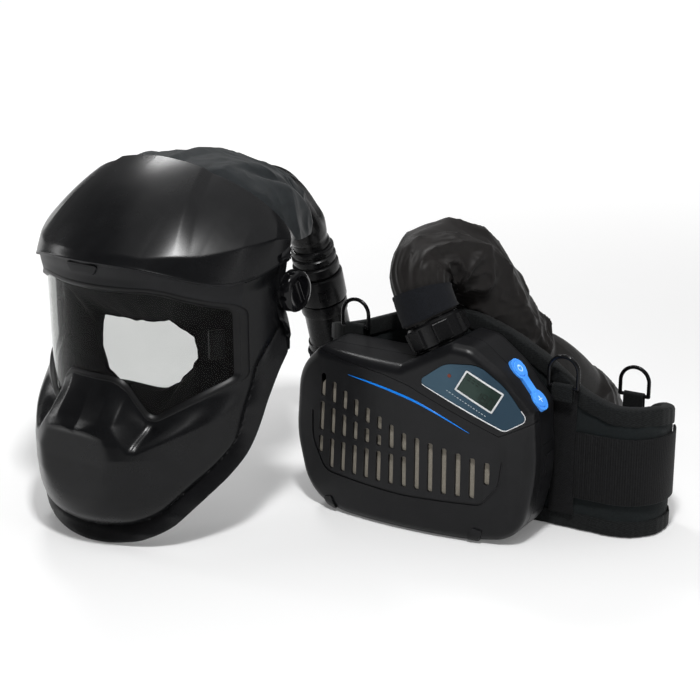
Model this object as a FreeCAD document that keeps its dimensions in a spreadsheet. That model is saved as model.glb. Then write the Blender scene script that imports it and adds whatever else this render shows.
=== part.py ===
"""Powered air respirator: helmet with head harness, sleeved breathing hose, blower unit and belt.

Frame: millimetres, +Z up, origin on the floor under the middle of the rigid set (the hose apart).
The blower stands axis-aligned with its front towards -Y; the helmet is placed to its left and is
modelled about its own tilt axis.
"""
import FreeCAD, Part
import math
import os
from FreeCAD import Placement, Rotation, Vector

doc = FreeCAD.newDocument("air_respirator")

# ---------------------------------------------------------------- driving dimensions
DIMS = {
    # places of the blower and of the helmet's tilt axis, on the floor
    "blower_x": 68.53, "blower_y": 16.26, "helmet_x": -201.9, "helmet_y": -67.5, "helmet_yaw": -4,
    # helmet shell
    "pivot_height": 205, "shell_wall": 2.8, "shell_edge_angle": 97,
    "lens_thick": 1.6, "gasket_thick": 2.4, "seal_depth": 16, "seal_thick": 2.5,
    "latch_wide": 34, "latch_tall": 8, "latch_thick": 5,
    "knob_rad": 20, "knob_thick": 13, "bolt_rad": 5, "bolt_play": 0.05,
    # head harness
    "band_half_wide": 78, "band_half_long": 92, "band_tall": 20, "band_thick": 2,
    "band_base": 204, "sweat_thick": 5,
    # duct and connector behind the head
    "duct_rad": 19, "duct_wall": 2.5, "connector_rad": 21, "ring_rad": 24, "ring_long": 27,
    # blower casing
    "casing_front": -45, "casing_split": -12, "casing_back": 25, "casing_wall": 2.5,
    "dome_rad": 360, "seam_gap": 0.5, "front_round": 9, "back_round": 12,
    "slot_count": 14, "slot_pitch": 12.15, "slot_wide": 4.8,
    "spigot_rad": 19, "spigot_bore": 16.5, "spigot_long": 24, "collar_rad": 24,
    "collar_play": 0.3, "collar_tall": 21, "lug_count": 6,
    "fan_rad": 42, "impeller_rad": 35, "blade_count": 28,
    "button_rad": 7, "button_travel": 1.2,
    # hose
    "hose_rad": 24,
    # belt
    "pad_thick": 9, "pad_front_y": 37, "pad_back_y": 104, "pad_left": -122, "pad_right": 190,
    "binding_tall": 14, "binding_thick": 1.2, "band_low": 30, "band_high": 88,
    "web_low": 36, "web_high": 84, "web_thick": 2.5, "web_y": 111.2,
    "wire_rad": 1.7, "loop_play": 0.3,
}
sheet = doc.addObject("Spreadsheet::Sheet", "dims")
for row, (alias, value) in enumerate(DIMS.items(), start=1):
    sheet.set("A%d" % row, alias)
    sheet.set("B%d" % row, str(value))
    sheet.setAlias("B%d" % row, alias)
doc.recompute()


def dim(alias):
    """A driving dimension, read back from the sheet."""
    return float(sheet.get(alias))


BLOWER = Placement(Vector(dim("blower_x"), dim("blower_y"), 0), Rotation())
HELMET = BLOWER.multiply(Placement(Vector(dim("helmet_x"), dim("helmet_y"), 0),
                                   Rotation(Vector(0, 0, 1), dim("helmet_yaw"))))
PARTS = []


# ---------------------------------------------------------------- document helpers
def keep(obj, node, placement=None):
    """Label an object as the sub-part `node` and place it."""
    obj.Label = node
    if placement is not None:
        obj.Placement = placement.multiply(obj.Placement)
    PARTS.append(obj)
    return obj


def feature(node, shape, placement):
    """A free-form sub-part whose shape comes from Part's own functions."""
    obj = doc.addObject("Part::Feature", node)
    obj.Shape = shape
    return keep(obj, node, placement)


def primitive(kind, name, centre=Vector(0, 0, 0), axis=Vector(0, 0, 1), **sizes):
    """A Part primitive whose sizes are expressions of the sheet, with its Z along `axis`."""
    obj = doc.addObject("Part::" + kind, name)
    for prop, expression in sizes.items():
        obj.setExpression(prop, expression)
    obj.Placement = Placement(centre, Rotation(Vector(0, 0, 1), axis))
    doc.recompute()
    return obj


def boolean(kind, name, base, tool):
    """A Part::Cut, Part::Fuse or Part::Common of two document objects."""
    obj = doc.addObject("Part::" + kind, name)
    obj.Base = base
    obj.Tool = tool
    doc.recompute()
    return obj


def role_plane(body, role):
    """One of a body's own origin planes."""
    return [f for f in body.Origin.OriginFeatures if f.Role == role][0]


def sketched(body, name, edges, role="XZ_Plane"):
    """A sketch of closed outlines on one of the body's origin planes."""
    sketch = body.newObject("Sketcher::SketchObject", name)
    sketch.AttachmentSupport = (role_plane(body, role), [""])
    sketch.MapMode = "FlatFace"
    sketch.addGeometry(edges, False)
    doc.recompute()
    return sketch


def pad_body(node, edges, length, role="XZ_Plane", reverse=False):
    """A PartDesign body with one pad of a sketched outline."""
    body = doc.addObject("PartDesign::Body", node + "_body")
    sketch = sketched(body, node + "_outline", edges, role)
    pad = body.newObject("PartDesign::Pad", node + "_pad")
    pad.Profile = sketch
    pad.setExpression("Length", length)
    pad.Reversed = reverse
    doc.recompute()
    return body


# ---------------------------------------------------------------- geometry helpers
def blend_table(table, value):
    """Value of a table of (input, output) pairs, eased between its rows."""
    if value <= table[0][0]:
        return table[0][1]
    for (low, a), (high, b) in zip(table, table[1:]):
        if value <= high:
            t = (value - low) / (high - low)
            return a + (b - a) * t
    return table[-1][1]


def curve(points, closed=False):
    """A smooth edge through points, or a straight one between two."""
    if len(points) == 2:
        return Part.LineSegment(points[0], points[1]).toShape()
    spline = Part.BSplineCurve()
    spline.interpolate(Points=points, PeriodicFlag=closed)
    return spline.toShape()


def solid_of(faces):
    """A solid sewn from faces that meet edge to edge."""
    shell = Part.makeShell(faces)
    shell.sewShape()
    if isinstance(shell, Part.Compound) or shell.ShapeType == "Compound":
        shell = shell.Shells[0]
    solid = Part.Solid(shell)
    if solid.Volume < 0:
        solid.reverse()
    return solid


def skin(outer, inner):
    """A curved sheet with thickness between two grids of points (rows of equal length)."""
    faces = []
    for side in (outer, inner):
        edges = [curve(row) for row in side]
        faces += [Part.makeRuledSurface(a, b) for a, b in zip(edges, edges[1:])]
    for end in (0, -1):
        faces.append(Part.makeRuledSurface(curve(outer[end]), curve(inner[end])))
        for i in range(len(outer) - 1):
            near = curve([outer[i][end], outer[i + 1][end]])
            far = curve([inner[i][end], inner[i + 1][end]])
            faces.append(Part.makeRuledSurface(near, far))
    return solid_of(faces)


def bar(rails, closed=False):
    """A bar whose corners run along rails, each a list of points; ends are flat."""
    edges = [curve(rail, closed) for rail in rails]
    count = len(edges)
    faces = [Part.makeRuledSurface(edges[i], edges[(i + 1) % count]) for i in range(count)]
    if not closed:
        for end in (0, -1):
            corners = [rail[end] for rail in rails]
            faces.append(Part.Face(Part.makePolygon(corners + corners[:1])))
    return solid_of(faces)


def rounded(corners):
    """Line and arc geometry of a closed outline; corners are (u, v, radius), drawn in X and Y."""
    count = len(corners)
    spans = []
    for i in range(count):
        here = Vector(corners[i][0], corners[i][1], 0)
        before = Vector(corners[i - 1][0], corners[i - 1][1], 0)
        after = Vector(corners[(i + 1) % count][0], corners[(i + 1) % count][1], 0)
        back = (before - here).normalize()
        ahead = (after - here).normalize()
        half = back.getAngle(ahead) / 2
        reach = corners[i][2] / math.tan(half)
        start = here + back * reach
        end = here + ahead * reach
        centre = here + (back + ahead).normalize() * (corners[i][2] / math.sin(half))
        middle = centre + (here - centre).normalize() * corners[i][2]
        spans.append((start, middle, end))
    geometry = []
    for i, (start, middle, end) in enumerate(spans):
        geometry.append(Part.Arc(start, middle, end))
        geometry.append(Part.LineSegment(end, spans[(i + 1) % count][0]))
    return geometry


def prism(geometry, y0, y1):
    """An outline drawn in X and Z, extruded from y0 to y1."""
    wire = Part.Wire([g.toShape() for g in geometry])
    face = Part.Face(wire)
    face.rotate(Vector(0, 0, 0), Vector(1, 0, 0), 90)
    face.translate(Vector(0, y0, 0))
    return face.extrude(Vector(0, y1 - y0, 0))


def largest(shape):
    """The biggest solid of a shape, without the chips that a cut leaves."""
    return max(shape.Solids, key=lambda piece: piece.Volume)


def block(x0, x1, y0, y1, z0, z1):
    """An axis-aligned box given by its limits."""
    return Part.makeBox(x1 - x0, y1 - y0, z1 - z0, Vector(x0, y0, z0))


# ---------------------------------------------------------------- helmet surfaces
HALF_WIDTHS = [(0, 104), (40, 110), (100, 114), (150, 115), (245, 115)]
HALF_DEPTHS = [(0, 130), (20, 140), (60, 143), (100, 140), (125, 121), (140, 116), (225, 118),
               (245, 121)]
RIM_HEIGHTS = [(0, 0), (28, 6), (43, 20), (53, 40), (64, 60), (72, 79), (76, 105), (81, 137),
               (90, 160), (97, 186)]
RIDGE_TOP = 240
RIDGE_DIP = 18
CROWN_RISE = 64


def shell_point(angle, height, inset=0.0):
    """A point of the helmet's side surface, `angle` degrees round from the nose."""
    phi = math.radians(angle)
    wide = blend_table(HALF_WIDTHS, height) - inset
    deep = blend_table(HALF_DEPTHS, height) - inset
    return Vector(wide * math.sin(phi), -deep * math.cos(phi), height)


def ridge_height(angle):
    """Height of the crease between the crown and the brow band."""
    part = (abs(angle) / dim("shell_edge_angle")) ** 1.45
    return RIDGE_TOP - RIDGE_DIP * (1 - math.cos(2 * math.pi * part)) / 2 - 5 * part ** 4


def crown_edge(angle):
    """A point of the crown's free rear edge."""
    part = angle / dim("shell_edge_angle")
    turn = math.radians(part * 90)
    lift = max(0.0, math.cos(turn)) ** 0.88
    low = 5 * (1 - lift) ** 4
    return Vector(112 * math.copysign(abs(math.sin(turn)) ** 0.95, part), 15 - 36 * lift,
                  RIDGE_TOP + low + CROWN_RISE * lift)


def crown_point(angle, part, inset=0.0):
    """A point of the crown, from the ridge (part 0) to its rear edge (part 1)."""
    low = shell_point(angle, ridge_height(angle), inset)
    high = crown_edge(angle)
    lift = max(0.0, math.cos(math.radians(angle * 90 / dim("shell_edge_angle"))))
    swell = 7 * lift * 4 * part * (1 - part)
    out = Vector(0.35 * math.sin(math.radians(angle)), -0.5, 0.8).normalize()
    return low + (high - low) * part + out * (swell - inset * part)


def helmet_shell():
    """Side shell, brow ridge and crown in one moulding, with window, latch slot and pivot holes."""
    wall = dim("shell_wall")
    edge = dim("shell_edge_angle")
    angles = [edge * (i - 20) / 20 for i in range(41)]
    outer = []
    inner = []
    for k in range(5):
        part = 1 - k / 4
        if part > 0:
            outer.append([crown_point(a, part) for a in angles])
            inner.append([crown_point(a, part, wall) for a in angles])
    for k in range(13):
        part = k / 12
        heights = [ridge_height(a) + (blend_table(RIM_HEIGHTS, abs(a)) - ridge_height(a)) * part
                   for a in angles]
        outer.append([shell_point(a, z) for a, z in zip(angles, heights)])
        inner.append([shell_point(a, z, wall) for a, z in zip(angles, heights)])
    shape = skin(outer, inner)
    shape = shape.cut(prism(window_outline(0), -200, -20))
    wide = dim("latch_wide") + 1.2
    tall = dim("latch_tall") + 1.2
    shape = shape.cut(block(-wide / 2, wide / 2, -140, -100, 231.5 - tall / 2, 231.5 + tall / 2))
    hole = Part.makeCylinder(dim("bolt_rad") + 0.6, 300, Vector(-150, 0, dim("pivot_height")),
                             Vector(1, 0, 0))
    return shape.cut(hole)


def window_outline(grow):
    """Outline of the visor window, wider by `grow` all round, with the arch over the nose."""
    g = grow
    corner = max(5, 9 + g)
    return rounded([(-104 - g, 199 + g, corner), (-60 - g, 216 + g, 60), (60 + g, 216 + g, 60),
                    (104 + g, 199 + g, corner), (104 + g, 140 - g, corner),
                    (52 + g, 106 - g, corner), (29, 140 - g, 16), (-29, 140 - g, 16),
                    (-52 - g, 106 - g, corner), (-104 - g, 140 - g, corner)])


def patch(angle, low, high, inset_out, inset_in, columns=21, rows=9):
    """A curved sheet that follows the side shell at a distance inside it."""
    angles = [angle * (2 * i / (columns - 1) - 1) for i in range(columns)]
    heights = [low + (high - low) * k / (rows - 1) for k in range(rows)]
    outer = [[shell_point(a, z, inset_out) for a in angles] for z in heights]
    inner = [[shell_point(a, z, inset_in) for a in angles] for z in heights]
    return skin(outer, inner)


def face_seal():
    """Cloth seal behind the window: its rim meets the shell and its opening frames the face."""
    depth = dim("seal_depth")
    thick = dim("seal_thick")
    angles = [76 * (i / 12 - 1) for i in range(25)]
    heights = [93 + 11.2 * k for k in range(12)]

    def inset(angle, height):
        side = (76 - abs(angle)) / 9
        near = min(height - 93, heights[-1] - height) / 14
        return dim("shell_wall") + 0.5 + (depth - 3) * math.sin(math.pi / 2 * min(1, side, near))
    outer = [[shell_point(a, z, inset(a, z)) for a in angles] for z in heights]
    inner = [[shell_point(a, z, inset(a, z) + thick) for a in angles] for z in heights]
    return skin(outer, inner).cut(prism(window_outline(-17), -200, -20))


def lens_clips():
    """Two clips that hold the lens at the window's ends."""
    solids = []
    for side in (-1, 1):
        spot = shell_point(side * 56, 168, 10)
        clip = Part.makeBox(13, 5, 24, Vector(-6.5, -2.5, -12))
        clip = clip.makeFillet(1.2, clip.Edges)
        clip.rotate(Vector(0, 0, 0), Vector(0, 0, 1), side * 56)
        clip.translate(spot)
        solids.append(clip)
    return Part.makeCompound(solids)


def build_helmet():
    """The pieces that tilt with the visor."""
    skin_in = dim("shell_wall") + 0.3
    lens_in = skin_in + dim("lens_thick")
    lens = patch(67, 100, 222, skin_in, lens_in)
    feature("helmet_shell", largest(helmet_shell().cut(lens)), HELMET)
    opening = prism(window_outline(-3), -200, -20)
    gasket = patch(69, 97, 220, lens_in + 0.1, lens_in + dim("gasket_thick"))
    feature("lens", lens, HELMET)
    feature("lens_gasket", largest(gasket.cut(opening).cut(lens)), HELMET)
    feature("lens_clips", lens_clips(), HELMET)
    stack = patch(70, 96, 223, skin_in - 0.2, lens_in + dim("gasket_thick") + 0.2)
    feature("face_seal", largest(face_seal().cut(stack)), HELMET)
    wide = dim("latch_wide") / 2
    tall = dim("latch_tall") / 2
    body = pad_body("brow_latch", rounded([(-wide, tall, 1.5), (wide, tall, 1.5),
                                           (wide - 5, -tall, 2), (-wide + 5, -tall, 2)]),
                    "dims.latch_thick")
    keep(body, "brow_latch", HELMET.multiply(Placement(Vector(0, -115.6, 231.5), Rotation())))
    for side, name in ((-1, "pivot_knob_left"), (1, "pivot_knob_right")):
        pivot_knob(name, side)


def pivot_knob(node, side):
    """A turned clamp knob with a grip bar and a blind bore for its bolt."""
    axis = Vector(side, 0, 0)
    seat = Vector(side * 116.2, 0, dim("pivot_height"))
    disc = primitive("Cylinder", node + "_disc", seat, axis, Radius="dims.knob_rad",
                     Height="dims.knob_thick")
    edge = doc.addObject("Part::Fillet", node + "_round")
    edge.Base = disc
    outer = [i for i, e in enumerate(disc.Shape.Edges, start=1)
             if abs(e.CenterOfMass.x) > 120 and e.Length > 60]
    edge.Edges = [(i, 4.0, 4.0) for i in outer]
    doc.recompute()
    bore = primitive("Cylinder", node + "_bore", seat - axis * 2, axis,
                     Radius="dims.bolt_rad + dims.bolt_play", Height="dims.knob_thick - 2")
    bored = boolean("Cut", node + "_bored", edge, bore)
    grip = doc.addObject("Part::Box", node + "_grip")
    grip.setExpression("Length", "dims.knob_rad * 1.7")
    grip.Width = 7
    grip.Height = 3.5
    grip.Placement = Placement(seat + axis * (dim("knob_thick") - 0.5)
                               + Vector(0, -17 * side, -3.5) * 1.0,
                               Rotation(Vector(0, 0, 1), axis))
    doc.recompute()
    grip_shape = grip.Shape.copy()
    shift = Vector(0, 0, dim("pivot_height")) - Vector(0, grip_shape.BoundBox.Center.y,
                                                        grip_shape.BoundBox.Center.z)
    grip.Placement.Base = grip.Placement.Base + Vector(0, shift.y, shift.z)
    doc.recompute()
    keep(boolean("Fuse", node + "_whole", bored, grip), node, HELMET)


# ---------------------------------------------------------------- head harness
def oval(half_wide, half_long, height, lean=0.0, count=32, start=0.0, sweep=360.0):
    """Points of an oval round the head, its centre a little behind the tilt axis."""
    points = []
    steps = count if sweep >= 360 else count + 1
    for i in range(steps):
        t = math.radians(start + sweep * i / count)
        y = 6 - half_long * math.cos(t)
        points.append(Vector(half_wide * math.sin(t), y, height - lean * (y - 6) / half_long))
    return points


def band_solid(half_wide, half_long, thick, low, tall, lean=0.0, start=0.0, sweep=360.0):
    """A band round the head, closed or a part of the oval."""
    closed = sweep >= 360
    rails = []
    for grow, rise in ((0, 0), (thick, 0), (thick, tall), (0, tall)):
        rails.append(oval(half_wide + grow, half_long + grow, low + rise, lean, 32, start, sweep))
    return bar(rails, closed)


def strap_over(points, half_wide, thick):
    """A strap along centre points in the head's middle or cross plane, given with its normals."""
    rails = []
    for side, lift in ((-1, 0), (1, 0), (1, thick), (-1, thick)):
        rails.append([p + across * (side * half_wide) + up * lift for p, across, up in points])
    return bar(rails)


def crown_straps():
    """Two straps over the head: one across and one front to back above it."""
    low = dim("band_base") + dim("band_tall")
    across = []
    for i in range(13):
        t = math.radians(-90 + 15 * i)
        reach = Vector(math.sin(t) * (dim("band_half_wide") + 1), 14, low - 9 + 68 * math.cos(t))
        across.append((reach, Vector(0, 1, 0), Vector(math.sin(t), 0, math.cos(t))))
    first = strap_over(across, 9, 1.6)
    second = []
    for i in range(9):
        t = math.radians(-32 + 8 * i)
        spot = Vector(0, 10 + 92 * math.sin(t), low - 31 + 92 * math.cos(t))
        second.append((spot, Vector(1, 0, 0), Vector(0, math.sin(t), math.cos(t))))
    return Part.makeCompound([first, strap_over(second, 8, 1.4)])


def build_harness():
    """Headband, straps, ratchet and the arms that carry the tilt bolts."""
    wide = dim("band_half_wide")
    deep = dim("band_half_long")
    base = dim("band_base")
    tall = dim("band_tall")
    thick = dim("band_thick")
    headband = band_solid(wide, deep, thick, base, tall)
    feature("headband", headband, HELMET)
    sweat = dim("sweat_thick")
    feature("sweatband", band_solid(wide - sweat - 0.2, deep - sweat - 0.2, sweat, base - 2,
                                    tall + 4, 0.0, -70, 140), HELMET)
    feature("rear_pad", band_solid(wide - sweat - 0.2, deep - sweat - 0.2, sweat, base - 6,
                                   tall + 6, 0.0, 145, 70), HELMET)
    feature("crown_straps", crown_straps().cut(headband), HELMET)
    pivot = dim("pivot_height")
    arms = []
    for side in (-1, 1):
        link = block(wide + 2.4, 105, -8, 8, pivot - 6, pivot + 8)
        disc = Part.makeCylinder(14, 4, Vector(104, 0, pivot), Vector(1, 0, 0))
        bore = Part.makeCylinder(dim("bolt_rad"), 30, Vector(90, 0, pivot), Vector(1, 0, 0))
        arm = link.fuse(disc).cut(bore)
        if side < 0:
            arm = arm.mirror(Vector(0, 0, 0), Vector(1, 0, 0))
        arms.append(arm)
    feature("side_arms", Part.makeCompound(arms), HELMET)
    bolts = []
    washers = []
    for side in (-1, 1):
        axis = Vector(side, 0, 0)
        bolts.append(Part.makeCylinder(dim("bolt_rad"), 31.5, Vector(side * 92, 0, pivot), axis))
        ring = Part.makeCylinder(11, 2, Vector(side * 108.4, 0, pivot), axis)
        washers.append(ring.cut(Part.makeCylinder(dim("bolt_rad"), 4,
                                                  Vector(side * 107.4, 0, pivot), axis)))
    feature("pivot_bolts", Part.makeCompound(bolts), HELMET)
    feature("pivot_washers", Part.makeCompound(washers), HELMET)
    back = 6 + deep + thick
    housing = block(-24, 24, back + 0.3, back + 12, base - 8, base + 14)
    housing = housing.makeFillet(3, [e for e in housing.Edges if abs(e.CenterOfMass.y - back - 12)
                                     < 0.1 or e.BoundBox.YLength > 8])
    shaft_bore = Part.makeCylinder(4, 20, Vector(0, back - 1, base + 3), Vector(0, 1, 0))
    feature("ratchet_housing", housing.cut(shaft_bore), HELMET)
    knob = primitive("Cylinder", "ratchet_disc", Vector(0, back + 12.4, base + 3),
                     Vector(0, 1, 0), Radius="dims.knob_rad - 4", Height="dims.knob_thick - 3")
    stem = primitive("Cylinder", "ratchet_stem", Vector(0, back + 2, base + 3), Vector(0, 1, 0),
                     Radius="dims.bolt_rad - 1 - dims.bolt_play", Height="dims.knob_thick")
    whole = boolean("Fuse", "ratchet_whole", knob, stem)
    notches = []
    for i in range(12):
        t = 2 * math.pi * i / 12
        rim = dim("knob_rad") - 3
        notches.append(Part.makeCylinder(2, 14, Vector(rim * math.cos(t), back + 11,
                                                       base + 3 + rim * math.sin(t)),
                                         Vector(0, 1, 0)))
    tool = doc.addObject("Part::Feature", "ratchet_notches")
    tool.Shape = Part.makeCompound(notches)
    keep(boolean("Cut", "ratchet_cut", whole, tool), "ratchet_knob", HELMET)


CONNECTOR_TOP = Vector(0, 190, 190)
CONNECTOR_END = Vector(0, 224, 84)


def tube_along(points, radii_outer, radii_inner):
    """A tube of straight runs and tangent arcs, hollow when an inner radius is given."""
    path = rounded_path(points)
    start = (points[1] - points[0]).normalize()
    shape = Part.Wire(Part.makeCircle(radii_outer, points[0], start)).copy()
    tube = Part.Wire(path).makePipeShell([shape], True, False)
    if radii_inner:
        inner = Part.Wire(Part.makeCircle(radii_inner, points[0], start))
        tube = tube.cut(Part.Wire(path).makePipeShell([inner], True, False))
    return tube


def rounded_path(points, report=None):
    """Edges of a path with an arc at every corner, as large as its two runs allow."""
    edges = []
    last = points[0]
    for before, here, after in zip(points, points[1:], points[2:]):
        back = (before - here)
        ahead = (after - here)
        turn = math.pi - back.getAngle(ahead)
        reach = 0.45 * min(back.Length, ahead.Length)
        radius = reach / math.tan(turn / 2)
        start = here + Vector(back).normalize() * reach
        end = here + Vector(ahead).normalize() * reach
        bisector = (Vector(back).normalize() + Vector(ahead).normalize()).normalize()
        centre = here + bisector * math.hypot(radius, reach)
        middle = centre - bisector * radius
        edges.append(Part.LineSegment(last, start).toShape())
        edges.append(Part.Arc(start, middle, end).toShape())
        last = end
        if report is not None:
            report.append(radius)
    edges.append(Part.LineSegment(last, points[-1]).toShape())
    return edges


def head_cover():
    """Cloth cover from under the crown's edge over the head to the duct."""
    rows = [(95, -27, 38, 236, 295), (94, -13, 36, 234, 306), (95, 20, 20, 222, 308),
            (86, 62, 10, 212, 300), (66, 102, 0, 206, 284), (46, 136, -6, 204, 262),
            (34, 156, -8, 200, 240)]

    def arch(half, y_top, sag, low, top, shrink):
        points = []
        for i in range(17):
            t = math.radians(-90 + 180 * i / 16)
            lift = max(0.0, math.cos(t)) ** 0.8
            points.append(Vector((half - shrink) * math.sin(t), y_top + sag * (1 - math.cos(t)),
                                 low + (top - low - shrink) * lift))
        return points
    outer = [arch(*row, 0) for row in rows]
    inner = [arch(*row, 2.5) for row in rows]
    return skin(outer, inner)


def build_duct():
    """Air duct behind the head, the hose connector and its lock ring, and the cloth cover."""
    radius = dim("duct_rad")
    path = [Vector(0, 96, 262), Vector(0, 128, 258), Vector(0, 158, 238), Vector(0, 178, 213),
            Vector(0, 189.4, 191.8)]
    duct = tube_along(path, radius, radius - dim("duct_wall"))
    cover = head_cover().cut(tube_along(path, radius + 0.3, 0))
    back = 6 + dim("band_half_long") + dim("band_thick")
    stay = block(-9, 9, back + 0.4, back + 3.4, dim("band_base") + 15, 252)
    duct = duct.fuse(stay.cut(tube_along(path, radius - 1, 0)))
    axis = (CONNECTOR_END - CONNECTOR_TOP).normalize()
    length = (CONNECTOR_END - CONNECTOR_TOP).Length
    rad = dim("connector_rad")
    ring_start = 30
    ring_end = ring_start + dim("ring_long")
    profile = [(radius - dim("duct_wall"), 0), (rad - 1, 0), (rad - 1, 12), (rad + 1.5, 13),
               (rad + 1.5, 27), (rad - 0.5, 28.5), (rad - 0.5, ring_end + 1),
               (rad + 2, ring_end + 2), (rad + 2, ring_end + 12), (rad, ring_end + 14),
               (rad, length - 8), (rad + 2, length - 7), (rad + 2, length),
               (radius - dim("duct_wall"), length)]
    connector = turned(profile, CONNECTOR_TOP, axis)
    feature("air_duct", largest(duct.cut(connector)), HELMET)
    feature("hose_connector", connector, HELMET)
    ring = [(rad - 0.2, ring_start), (dim("ring_rad"), ring_start + 1),
            (dim("ring_rad"), ring_end - 1), (rad - 0.2, ring_end)]
    feature("connector_ring", turned(ring, CONNECTOR_TOP, axis), HELMET)
    feature("head_cover", largest(cover), HELMET)


def turned(profile, base, axis):
    """A solid of revolution; the profile holds (radius, distance along the axis)."""
    points = [Vector(r, 0, z) for r, z in profile]
    face = Part.Face(Part.makePolygon(points + points[:1]))
    shape = face.revolve(Vector(0, 0, 0), Vector(0, 0, 1), 360)
    shape.Placement = Placement(base, Rotation(Vector(0, 0, 1), axis))
    if shape.Volume < 0:
        shape.reverse()
    return shape


# ---------------------------------------------------------------- blower casing
CASING = [(-60, 0, 90), (-97, 9, 40), (-113, 62, 80), (-108, 122, 45), (-84, 146, 12),
          (0, 145, 5), (45, 170, 9), (62, 168, 18), (90, 147, 60), (113, 119, 10), (117, 60, 160),
          (104, 5, 28), (60, 0, 90)]
SEAM = [(-150, 147.5), (-78, 143), (-14, 135.5), (9, 130), (65, 106), (88, 96), (112, 108),
        (150, 128)]
FACET_MID = Vector(21, -5, 156.7)
FACET_AXIS = Vector(-25, 0, 45).normalize()


def casing_solid(inset, front_round=0.0, back_round=0.0):
    """The casing's outer form with its domed front, shrunk by `inset` all round."""
    outline = Part.Wire([g.toShape() for g in rounded(CASING)])
    face = Part.Face(outline)
    if inset:
        face = face.makeOffset2D(-inset)
    face.rotate(Vector(0, 0, 0), Vector(1, 0, 0), 90)
    front = dim("casing_front") + inset
    back = dim("casing_back") - inset
    face.translate(Vector(0, front, 0))
    solid = face.extrude(Vector(0, back - front, 0))
    dome = dim("dome_rad")
    round_front = Part.makeCylinder(dome, 400, Vector(0, front + dome, -100), Vector(0, 0, 1))
    solid = solid.common(round_front)
    for size, limit in ((front_round, -1), (back_round, 1)):
        if size:
            wanted = [e for e in solid.Edges if (limit > 0 and e.BoundBox.YMin > back - 0.01)
                      or (limit < 0 and e.BoundBox.YMax < -18 and e.BoundBox.YLength < 30)]
            solid = solid.makeFillet(size, wanted)
    return solid


def seam_prism(above, gap):
    """Everything of the front half above or below the seam, short of it by `gap`."""
    shift = gap if above else -gap
    level = 250 if above else -50
    points = [Vector(x, 0, z + shift) for x, z in SEAM]
    points += [Vector(SEAM[-1][0], 0, level), Vector(SEAM[0][0], 0, level)]
    face = Part.Face(Part.makePolygon(points + points[:1]))
    face.translate(Vector(0, -80, 0))
    return face.extrude(Vector(0, 80 + dim("casing_split") - dim("seam_gap") / 2, 0))


def grille_slots():
    """The slots of the front cover as one tool; the first eight are split by cross ribs."""
    wide = dim("slot_wide")
    tools = []
    for i in range(int(dim("slot_count"))):
        x_low = -81.5 + dim("slot_pitch") * i + 0.35 * i * (i < 7) + 2.45 * (i >= 7)
        x_top = x_low + 0.7 * max(0, 7 - i)
        top = 124 - 5.2 * i if i <= 7 else 88 - 2.6 * (i - 7)
        low = {0: 51, 13: 53}.get(i, 39.5)
        cuts = [low, top]
        if i < 8:
            cuts = [low, 67, 71.5, top]
        if i < 6:
            cuts = [low, 67, 71.5, 98.5 - 3.4 * i, 103 - 3.4 * i, top]
        for a, b in zip(cuts[::2], cuts[1::2]):
            xa = x_low + (x_top - x_low) * (a - low) / (top - low)
            xb = x_low + (x_top - x_low) * (b - low) / (top - low)
            half = wide / 2
            tools.append(prism(rounded([(xa - half, a, half * 0.8), (xa + half, a, half * 0.8),
                                        (xb + half, b, half * 0.8), (xb - half, b, half * 0.8)]),
                               -60, -20))
    return Part.makeCompound(tools)


def cover_groove(full):
    """The shallow groove that frames the grille from three sides."""
    outer = prism(rounded([(-91, 100, 4), (-91, 62, 30), (-76, 36, 14), (2, 31.5, 300),
                           (75, 34, 12), (90, 52, 20), (94, 86, 4)]), -60, 0)
    inner = prism(rounded([(-89.2, 101, 4), (-89.2, 62, 30), (-75, 38, 12), (2, 33.5, 300),
                           (74, 36, 10), (88, 53, 18), (92, 88, 4)]), -60, 0)
    ring = outer.cut(inner)
    top = Part.makePolygon([Vector(-120, -60, 90), Vector(120, -60, 72), Vector(120, -60, 130),
                            Vector(-120, -60, 150), Vector(-120, -60, 90)])
    ring = ring.cut(Part.Face(top).extrude(Vector(0, 60, 0)))
    skin_depth = full.cut(casing_solid(1.0))
    return ring.common(skin_depth)


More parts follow.
